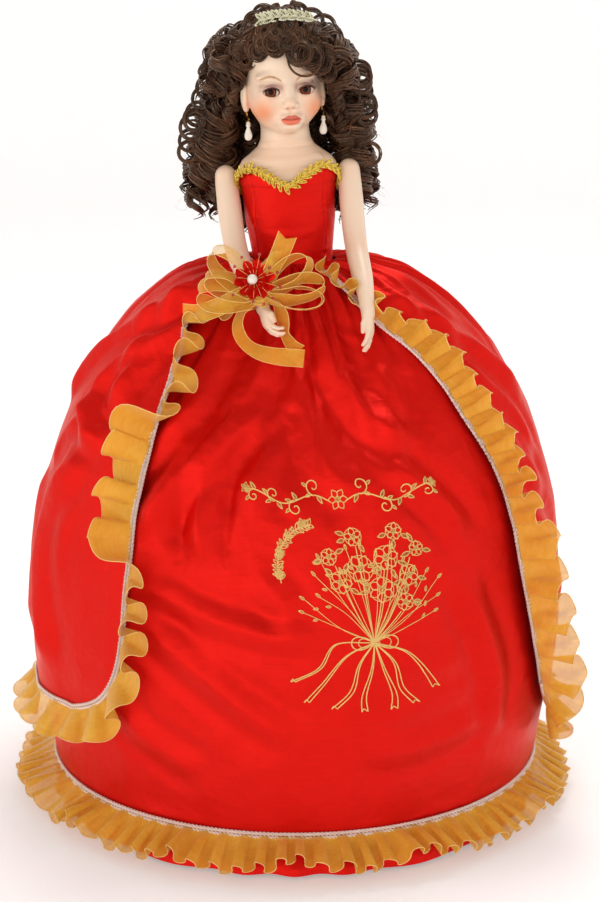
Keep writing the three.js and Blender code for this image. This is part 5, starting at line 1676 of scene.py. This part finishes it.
def corsage(red, edge, pearl):
    knot = lean([-24.0, -77.0, 383.0]) + [1.0, -7.5, -1.0]
    look = np.array([0.0, -1.0, 0.0])
    sheer = organza("sheer gold ribbon", (0.74, 0.34, 0.012), (0.96, 0.60, 0.10), alpha=0.58)
    ribbons, threads = Batch(), Batch()
    right, up = np.array([1.0, 0, 0]), np.array([0, 0.12, 1.0])

    def toward(degrees):
        a = math.radians(degrees)
        return right * math.cos(a) + up * math.sin(a)

    loops = ((136, 43, 19, 2, 0.55), (160, 38, 17, 5, 0.7), (176, 40, 20, 3, 0.45), (38, 42, 20, 3, 0.6),
             (12, 44, 18, 5, 0.5), (-2, 43, 19, 2, 0.75))
    for k, (angle, long, wide, depth, tilt) in enumerate(loops):
        go, across = toward(angle), toward(angle + 90)
        facing = unit(look * tilt + across * (1 - tilt) * 0.9)
        ribbon(ribbons, threads, loop_path(knot, go, across, long, wide, depth),
               [facing, facing + 0.3 * look, facing], wide=13.5, seed=200 + k, curl=0.8)
    # Tails: one stands up, one lies out to the side, two hang past the hand.
    for k, (points, facing, notch) in enumerate((
        ([(0, 0, 0), (5, -3, 10), (10, -4, 22), (15, -3, 32), (19, -1, 42)],
         [(1, 0.3, -0.2), (1, 0.5, -0.4), (1, -0.1, -0.4)], 4.0),
        ([(0, 0, 0), (-12, -3, 1), (-26, -3, -6), (-40, -1, -11), (-51, 1, -11)],
         [(0, -0.4, 1), (0.2, -0.2, 1), (0.1, -0.2, 1)], 0),
        ([(-3, 2, 0), (-10, 1, -8), (-14, 0, -18), (-12, 0, -28), (-4, 0, -36), (9, -1, -40), (30, -1, -42)],
         [(0.4, 1, 0.1), (0.5, -1, 0.1), (0.7, -0.9, 0.4), (0.5, -0.8, 0.8), (0.2, -0.5, 1), (0, -0.2, 1),
          (0, -0.2, 1)], 0),
        ([(5, 2, 0), (13, 1, -7), (16, 1, -17), (17, 1, -25), (22, 0, -33), (27, 0, -37)],
         [(0.5, -1, 0), (0.8, -0.9, 0.1), (0.5, -1, 0.3), (0.5, -0.7, 0.8)], 0),
    )):
        ribbon(ribbons, threads, spline(knot + np.array(points, float), 60), facing, wide=12.5, seed=230 + k,
               notch=notch)
    t = np.linspace(0, 2 * math.pi, 40)
    for k in range(3):  # the wraps of the knot
        ring = knot + np.stack([5.0 * np.cos(t), 3.0 * np.sin(t) - 0.8,
                                1.4 * np.sin(2 * t + k) + 2.2 * (k - 1)], 1)
        ribbon(ribbons, threads, ring, [up, up], wide=6.5, seed=250 + k, curl=0.3)
    ribbons.make("corsage_ribbons", sheer, "gold_organza", "arm_right", ["wrist_bow"])
    threads.make("corsage_threads", edge, "gold_organza", "arm_right")

    # A five-petalled satin flower, its stamens and the band under it.
    heart = knot + [-3.0, -4.5, 11.5]
    petals = Batch()
    turn = unit(np.array([0.05, -0.93, 0.36]))
    side = unit(np.cross(turn, [0, 0, 1.0]))
    high = np.cross(side, turn)
    u, v = np.meshgrid(np.linspace(-1, 1, 27), np.linspace(0, 1, 22))
    for k in range(10):
        inner = k >= 5
        a = math.radians(72 * k + (36 if inner else 8))
        go, over = side * math.cos(a) + high * math.sin(a), -side * math.sin(a) + high * math.cos(a)
        long, wide = (7.5, 5.2) if inner else (13.2, 7.6)
        half = wide * np.sqrt(np.sin(np.clip(v, 0.01, 0.995) * math.pi * 0.86)) * (0.35 + 0.65 * v)
        vein = 1.1 * np.exp(-((u / 0.12) ** 2)) * v
        lift = (4.8 if inner else 3.4) * v**1.6 + 2.2 * u**2 * v + 0.5 * np.sin(9 * u + k) * v**2 - vein
        reach = long * v * (1 - 0.16 * np.exp(-((u / 0.22) ** 2)) * v**3)
        rise = turn * (lift + 0.25 * (k % 5) + inner)[..., None]
        petal = heart + go * reach[..., None] + over * (half * u)[..., None] + rise
        petals.add(petal, uv=np.stack([half * u * MM, reach * MM], -1))
    petals.make("satin_flower", red, "red_satin", "arm_right", ["wrist_flower"])
    beads = Batch()
    r = np.random.default_rng(9)
    wires = Batch()
    for k in range(13):
        a = 2 * math.pi * k / 13 + r.uniform(-0.15, 0.15)
        long = r.uniform(10, 18)
        go = side * math.cos(a) + high * math.sin(a)
        tip = heart + go * long + turn * r.uniform(3, 7)
        slender(wires, spline([heart, heart + go * long * 0.4 + turn * 5, tip], 10), 0.16, 4)
        globe = np.linspace(-1, 1, 8)
        beads.add(lathe([(1.05 * math.sqrt(max(1 - g * g, 0.001)), 1.2 * g) for g in globe], tip, 12), True)
    stamen = Nodes("red beads", Roughness=0.15, Coat_Weight=0.8)
    stamen.link(stamen.mix(stamen.noise(700.0, 2.0, 0.5, stamen.place), rgb(196, 12, 10), rgb(128, 6, 6)),
                "Base Color")
    beads.make("stamen_beads", stamen.material, "red_satin", "arm_right")
    wires.make("stamen_wires", edge, "gold_organza", "arm_right")
    globe = np.linspace(-1, 1, 24)
    bead = Batch()
    bead.add(lathe([(3.5 * math.sqrt(max(1 - g * g, 0.0005)), 3.5 * g) for g in globe],
                   heart + turn * 5.4 + side * 1.6, 32), True)
    bead.make("flower_pearl_bead", pearl, "pearl", "arm_right", ["flower_pearl"])
    coral = taffeta("coral satin ribbon", rgb(246, 92, 78), rgb(206, 40, 40))
    band = Batch()
    t = np.linspace(0, 2 * math.pi, 60)[None]
    w = np.linspace(-1, 1, 12)[:, None]
    centre, go = arm_line_at("right", 0.79)
    a1 = unit(np.cross(go, [0, 0, 1.0]))
    a2 = np.cross(a1, go)
    rr = 6.1 + 0.35 * np.sin(5 * t + 2 * w)
    ring = centre + go * (3.1 * w)[..., None] + a1 * (rr * np.cos(t))[..., None]
    ring = ring + a2 * (rr * 0.86 * np.sin(t))[..., None]
    band.add(lean(ring), uv=stacked(t * 0.006, w * 0.003))
    for k in range(3):
        fold = knot + np.stack([4.6 * np.cos(t[0]), 2.4 * np.sin(t[0]) - 3.6,
                                0.8 * np.cos(2 * t[0] + k) + 3.6 + 1.3 * k], 1)
        ribbon(band, Batch(), fold, [up, up], wide=3.0, seed=260 + k, curl=0.2)
    band.make("coral_band", coral, "red_satin", "arm_right", ["wrist_band"])


def arm_line_at(side, share):
    """A point part of the way down an upright arm, and the arm's direction there."""
    line, _ = resample(spline(ARM_PATH[side], 200), 0.5)
    k = int(share * (len(line) - 1))
    return line[k], unit(line[k + 1] - line[k - 1])


# ---------- embroidery ----------
def on_skirt(u, v, lift=0.35):
    """Embroidery points: u across and v up in millimetres from the middle of the motif."""
    z = 176 + np.asarray(v, float)
    down = distance_at(z)
    az = math.radians(17) + (np.asarray(u, float) - 0.04 * np.asarray(v, float)) / gown_radius(0.3, z)
    return gown_point(az, z, skirt_relief(az, down) + lift)


class Stitches:
    """Thread drawn on the skirt: outlines in running cord, fillings in close zigzags."""

    def __init__(self):
        self.batch = Batch()

    def line(self, uv, radius=0.42, lift=0.3):
        uv, _ = resample(np.asarray(uv, float), 0.9)
        if len(uv) > 2:
            slender(self.batch, on_skirt(uv[:, 0], uv[:, 1], lift), radius)

    def curve(self, points, radius=0.42):
        self.line(spline(np.asarray(points, float), 12 * len(points)), radius)

    def leaf(self, u, v, angle, long, wide, solid=True):
        a = math.radians(angle)
        go, side = np.array([math.cos(a), math.sin(a)]), np.array([-math.sin(a), math.cos(a)])
        t = np.linspace(0, 1, 12)[:, None]
        half = wide / 2 * np.sin(math.pi * t**0.8)
        base = np.array([u, v])
        for s in (-1, 1):
            self.line(base + go * long * t + side * half * s, 0.36)
        if solid:
            n = max(4, int(long / 0.55))
            t = np.linspace(0.08, 0.95, n)
            zig = np.where(np.arange(n) % 2, 1, -1)[:, None]
            half = wide / 2 * np.sin(math.pi * t**0.8)[:, None]
            path = base + go * long * t[:, None] + side * half * zig * 0.9 + go * 0.25 * zig
            slender(self.batch, on_skirt(path[:, 0], path[:, 1], 0.32), 0.27, 4)

    def flower(self, u, v, r, petals=5, turn=0.0):
        for k in range(petals):
            a = turn + 2 * math.pi * k / petals
            self.leaf(u + 0.22 * r * math.cos(a), v + 0.22 * r * math.sin(a), math.degrees(a), 0.8 * r,
                      0.62 * r, r < 4)
        t = np.linspace(0, 4 * math.pi, 30)
        self.line(np.stack([u + 0.02 * r * t * np.cos(t), v + 0.02 * r * t * np.sin(t)], 1), 0.36, 0.5)

    def scroll(self, u, v, r, turns, start, hand, leaves=3):
        t = np.linspace(0, 1, 60)
        a = math.radians(start) + hand * 2 * math.pi * turns * t
        rr = r * (1 - 0.82 * t)
        path = np.stack([u + rr * np.cos(a), v + rr * np.sin(a)], 1)
        self.line(path, 0.45)
        self.line(path[:34], 0.45, 0.6)
        for k in range(leaves):
            i = 4 + 9 * k
            self.leaf(*path[i], math.degrees(a[i]) + hand * 40, 4.2 - 0.5 * k, 1.8)


def embroidery():
    stitch = Stitches()
    # A scrolling vine across the top.
    for s in (-1, 1):
        t = np.linspace(0, 1, 80)
        x = -8 + s * (5 + 54 * t)
        y = 76 + 3.2 * np.sin(t * 2.6 * math.pi) + 4 * t
        stitch.line(np.stack([x, y], 1), 0.5)
        for k, (at, size) in enumerate(((0.16, 5.4), (0.42, 5.0), (0.68, 4.4), (0.92, 3.6))):
            i = int(at * 79)
            up = 1 if k % 2 == 0 else -1
            stitch.scroll(x[i] + s * 2, y[i] + up * size, size, 1.15, -90 * up, s * up, 2)
            stitch.leaf(x[i], y[i], 90 * -up + s * -30, 5.5, 2.2)
        stitch.flower(x[-1] + s * 2, y[-1] + 1, 3.4)
    stitch.flower(-8, 77, 6.2, 6)
    # A loose spray at the left.
    spray = np.array([(-54, 26), (-55, 38), (-50, 50), (-40, 59), (-29, 62)], float)
    path = spline(spray, 60)
    stitch.line(path, 0.4)
    r = np.random.default_rng(15)
    for k in range(3, 58, 3):
        d = unit(path[k + 1] - path[k])
        angle = math.degrees(math.atan2(d[1], d[0]))
        for s in (-1, 1):
            stitch.leaf(*path[k], angle + s * r.uniform(35, 70), r.uniform(3.2, 5), r.uniform(1.4, 2.0),
                        k % 2 == 0)
    for k in (8, 22, 36, 50):
        stitch.flower(path[k][0] + r.uniform(-3, 3), path[k][1] + r.uniform(-3, 3), 3.2, 5, r.uniform(0, 1))
    # A bouquet with its ribbons streaming down.
    blooms = [(0, 34, 9), (17, 40, 8), (-14, 26, 7.5), (31, 28, 7), (12, 20, 8.5), (-2, 54, 6), (24, 56, 5.5),
              (38, 44, 5), (-20, 42, 5.5), (27, 11, 6)]
    knot = np.array([4.0, -14.0])
    for u, v, size in blooms:
        mid = [(u * 0.4 + knot[0] * 0.6), (v * 0.35 + knot[1] * 0.65)]
        stitch.curve([knot, mid, (u * 0.85 + knot[0] * 0.15, v - size)], 0.36)
        stitch.flower(u, v, size, 5 if size < 8 else 6, u)
        stitch.line(np.array([(u + 0.92 * size * math.cos(a), v + 0.92 * size * math.sin(a))
                              for a in np.linspace(0, 2 * math.pi, 30)]), 0.3)
        for k in range(3):
            a = r.uniform(0, 360)
            stitch.leaf(u + size * math.cos(math.radians(a)), v + size * math.sin(math.radians(a)), a,
                        r.uniform(5, 7.5), 2.6)
    for k in range(16):
        a = math.radians(20 + 9 * k)
        tip = knot + np.array([math.cos(a), math.sin(a)]) * r.uniform(40, 66)
        mid = (knot + tip) / 2 + r.uniform(-5, 5, 2)
        stitch.curve([knot, mid, tip], 0.25)
        stitch.leaf(*tip, math.degrees(a), 4, 1.6)
        stitch.leaf(*(tip * 0.8 + knot * 0.2), math.degrees(a) + 40, 3.6, 1.5)
    for s in (-1, 1):
        t = np.linspace(0, 2 * math.pi, 50)
        bow = np.stack([knot[0] + s * 11 * (1 - np.cos(t)) / 2 * 1.4,
                        knot[1] + 5.5 * np.sin(t) * np.sin(t / 2)], 1)
        stitch.line(bow, 0.45)
        stitch.line(knot + (bow - knot) * 0.7, 0.35)
    stitch.flower(knot[0], knot[1], 3.4)
    for k, (mid, end) in enumerate((((-22, -14), (-54, -38)), ((-16, -22), (-46, -52)),
                                    ((-8, -28), (-28, -57)), ((0, -32), (-8, -60)),
                                    ((8, -32), (12, -60)), ((15, -28), (28, -58)), ((24, -22), (44, -50)))):
        low = ((mid[0] + end[0]) / 2 + (-1) ** k * 3, (mid[1] + end[1]) / 2 - 3)
        for gap in (0.0, 3.0 + 0.4 * k):
            stitch.curve([knot, (mid[0] + 0.3 * gap, mid[1]), (low[0] + 0.7 * gap, low[1]),
                          (end[0] + gap, end[1])], 0.44)
        stitch.line([end, (end[0] + 1.6, end[1] + 2.2), (end[0] + 3.0 + 0.4 * k, end[1])], 0.4)
    silk = thread("gold embroidery silk", rgb(255, 222, 140), rgb(240, 176, 78), roughness=0.32, pitch=2200.0)
    stitch.batch.make("embroidery", silk, "gold_organza", "doll")


# ---------- under the gown, and the stand ----------
def plain(name, low, high, roughness, scale, bump=0.2, depth=0.0002, **more):
    n = Nodes(name, Roughness=roughness, **more)
    cloud = n.noise(scale * 0.1, 4.0, 0.6, n.place)
    grain = n.noise(scale, 3.0, 0.6, n.place)
    n.link(n.mix(n.math("MULTIPLY_ADD", grain, 0.4, n.math("MULTIPLY", cloud, 0.5)), low, high), "Base Color")
    n.link(n.math("MULTIPLY_ADD", cloud, 0.2, roughness - 0.1), "Roughness")
    n.bump(grain, bump, depth)
    return n.material


def weave(name, low, high, roughness, pitch, **more):
    n = Nodes(name, Roughness=roughness, **more)
    split = n.node("SeparateXYZ", {"Vector": n.place})
    around = n.math("MULTIPLY", n.math("ARCTAN2", split.outputs[0], split.outputs[1]), 0.1)
    warp = n.sine(around, pitch)
    weft = n.sine(split.outputs[2], pitch)
    cross = n.math("MULTIPLY_ADD", n.math("MULTIPLY", warp, weft), 0.5, 0.5)
    n.link(n.mix(n.math("MULTIPLY_ADD", cross, 0.5,
                        n.math("MULTIPLY", n.noise(40.0, 3.0, 0.6, n.place), 0.4)), low, high), "Base Color")
    n.bump(cross, 0.4, 0.0002)
    return n.material


def softened(node, name, material, body, voxel, swell=0.0):
    """A stuffed cloth form made from a CAD solid: rounded, faintly lumpy and seamed down each side."""
    source = frame["nodes"][node]
    me = source.data.copy()
    ob = bpy.data.objects.new(name, me)
    bpy.context.scene.collection.objects.link(ob)
    me.materials.clear()
    me.materials.append(material)
    remesh = ob.modifiers.new("remesh", "REMESH")
    remesh.mode, remesh.voxel_size, remesh.use_smooth_shade = "VOXEL", voxel * MM, True
    smooth = ob.modifiers.new("smooth", "SMOOTH")
    smooth.factor, smooth.iterations = 0.6, 12
    evaluated = ob.evaluated_get(bpy.context.evaluated_depsgraph_get())
    made = bpy.data.meshes.new_from_object(evaluated)
    ob.modifiers.clear()
    ob.data = made
    p = np.zeros(len(made.vertices) * 3, np.float32)
    made.vertices.foreach_get("co", p)
    p = p.reshape(-1, 3) / MM
    centre = (p.min(0) + p.max(0)) / 2
    out = unit((p - centre) * [1, 1, 0])
    lump = np.sin(p[:, 2] / 5.1 + 2 * np.sin(p[:, 0] / 6)) * np.sin(p[:, 1] / 5.7 + p[:, 2] / 9)
    seam = np.exp(-(((p[:, 1] - centre[1]) / 0.9) ** 2))
    p = p + out * (swell + 0.35 * lump - 0.6 * seam * (1 + 0.4 * np.sin(p[:, 2] * 2.2)))[:, None]
    made.vertices.foreach_set("co", (p * MM).astype(np.float32).ravel())
    made.update()
    for polygon in made.polygons:
        polygon.use_smooth = True
    made.materials.clear()
    made.materials.append(material)
    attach(ob, body)
    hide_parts(node)


def under_gown(wire):
    net = organza("stiff net", (0.86, 0.84, 0.82), (0.95, 0.94, 0.92), alpha=0.75)
    nu, rows = 420, 70
    az = turn_round(nu)[None, :]
    z = np.interp(np.linspace(0, 1, rows), [0, 0.2, 1], [384, 366, 33])[:, None]
    down = distance_at(z)
    pleats = 1.5 * np.cos(44 * az + 2 * np.sin(5 * az)) * smooth01((down - 4) / 40)
    deep = -8.6 + pleats * (1 - 0.3 * smooth01(down / 200))
    make("petticoat_net", gown_point(az, z, deep), grid_faces(nu, rows, True), net, "doll",
         cloth_uv(*np.broadcast_arrays(az, down)).reshape(-1, 2), stands_for=["petticoat"])
    muslin = weave("muslin", rgb(214, 198, 168), rgb(238, 226, 202), roughness=0.85, pitch=9000.0)
    softened("torso_body", "stuffed_torso", muslin, "doll", voxel=1.6, swell=-0.3)
    for side in ("right", "left"):
        softened("thigh_" + side, "stuffed_thigh_" + side, muslin, "leg_" + side, voxel=1.4,
                 swell=-0.3)
    skin = plain("plain bisque", rgb(240, 212, 184), rgb(250, 232, 212), roughness=0.45, scale=900.0,
                 bump=0.1, depth=0.00006)
    enamel = plain("white enamel", rgb(226, 226, 220), rgb(244, 244, 240), roughness=0.3, scale=500.0,
                   bump=0.12)
    shoe = plain("white shoe leather", rgb(214, 208, 198), rgb(244, 240, 234), roughness=0.4, scale=1500.0,
                 bump=0.35)
    steel = metal("bright steel", (0.72, 0.72, 0.74), (0.55, 0.55, 0.57), 0.3)
    black = plain("black plastic", (0.012, 0.012, 0.013), (0.03, 0.03, 0.032), roughness=0.5, scale=1800.0,
                  bump=0.25, depth=0.0001)
    elastic = weave("covered elastic", rgb(224, 222, 216), rgb(244, 242, 238), roughness=0.7, pitch=16000.0)
    by_prefix = (("stand_base", enamel), ("post_socket", enamel), ("stand_tube", steel),
                 ("friction_bush", black), ("stand_rod", steel),
                 ("waist_grip", steel), ("ear_wire", wire), ("arm_elastic", elastic), ("arm_hook", steel),
                 ("hoop", tape_by_place()), ("lower_leg", skin), ("shoe", shoe))
    for node, ob in frame["nodes"].items():
        for prefix, material in by_prefix:
            if node.startswith(prefix):
                for slot in ob.material_slots:
                    slot.material = material
                for polygon in ob.data.polygons:
                    polygon.use_smooth = node.startswith(("hoop", "lower_leg", "shoe", "ear_wire"))


def tape_by_place():
    n = Nodes("hoop tape", Roughness=0.6)
    split = n.node("SeparateXYZ", {"Vector": n.place})
    around = n.math("ARCTAN2", split.outputs[0], split.outputs[1])
    wrap = n.math("MULTIPLY_ADD", n.sine(around, 900.0), 0.5, 0.5)
    n.link(n.mix(wrap, rgb(204, 202, 196), rgb(240, 238, 232)), "Base Color")
    n.bump(wrap, 0.3, 0.0002)
    return n.material


# ---------- putting it together ----------
setting()
red = gown_pieces()
edge_thread = trims()
bisque = head_pieces()
arm_pieces(bisque)
hair_pieces()
bodice_pieces(red)
pearl = pearl_material()
wire = metal("gold wire", rgb(232, 186, 84), rgb(176, 124, 40), 0.25)
earring_pieces(pearl, wire)
corsage(red, edge_thread, pearl)
embroidery()
under_gown(wire)


# Each sheet of cloth: its cut size, how it is held, what it rests on and what is sewn to it.
for name, flat, area, held, rests_on, sewn in (
    ("skirt_front", (1.12, 0.46), 0.44, "hung", ["petticoat_net"], ["hem_cords", "embroidery"]),
    ("overskirt_panel", (0.95, 0.36), 0.27, "draped", ["skirt_front"], ["overskirt_cord"]),
    ("organza_overskirt_ruffle_right", (0.9, 0.025), None, "gathered", ["overskirt_panel"], []),
    ("organza_overskirt_ruffle_back", (0.9, 0.025), None, "gathered", ["overskirt_panel"], []),
    ("organza_overskirt_ruffle_left", (0.9, 0.025), None, "gathered", ["overskirt_panel"], []),
    ("organza_hem_ruffle", (1.75, 0.030), None, "gathered", ["skirt_front"], ["hem_ruffle_thread"]),
    ("bodice_shell", (0.19, 0.068), 0.0105, "stretched", ["stuffed_torso"], ["gimp_braid"]),
    ("petticoat_net", (1.1, 0.43), 0.38, "hung", ["hoop_1", "hoop_2", "hoop_3", "hoop_4"], []),
    ("corsage_ribbons", (0.8, 0.0135), None, "folded", ["bisque_arm_right"], ["corsage_threads"]),
    ("coral_band", (0.045, 0.010), None, "folded", ["bisque_arm_right"], []),
    ("satin_flower", (0.1, 0.0105), 0.00095, "gathered", ["coral_band"], []),
    ("waist_seam_band", (0.155, 0.0105), None, "stretched", ["stuffed_torso"], []),
):
    [bpy.data.objects[x] for x in sewn]
    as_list(rests_on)
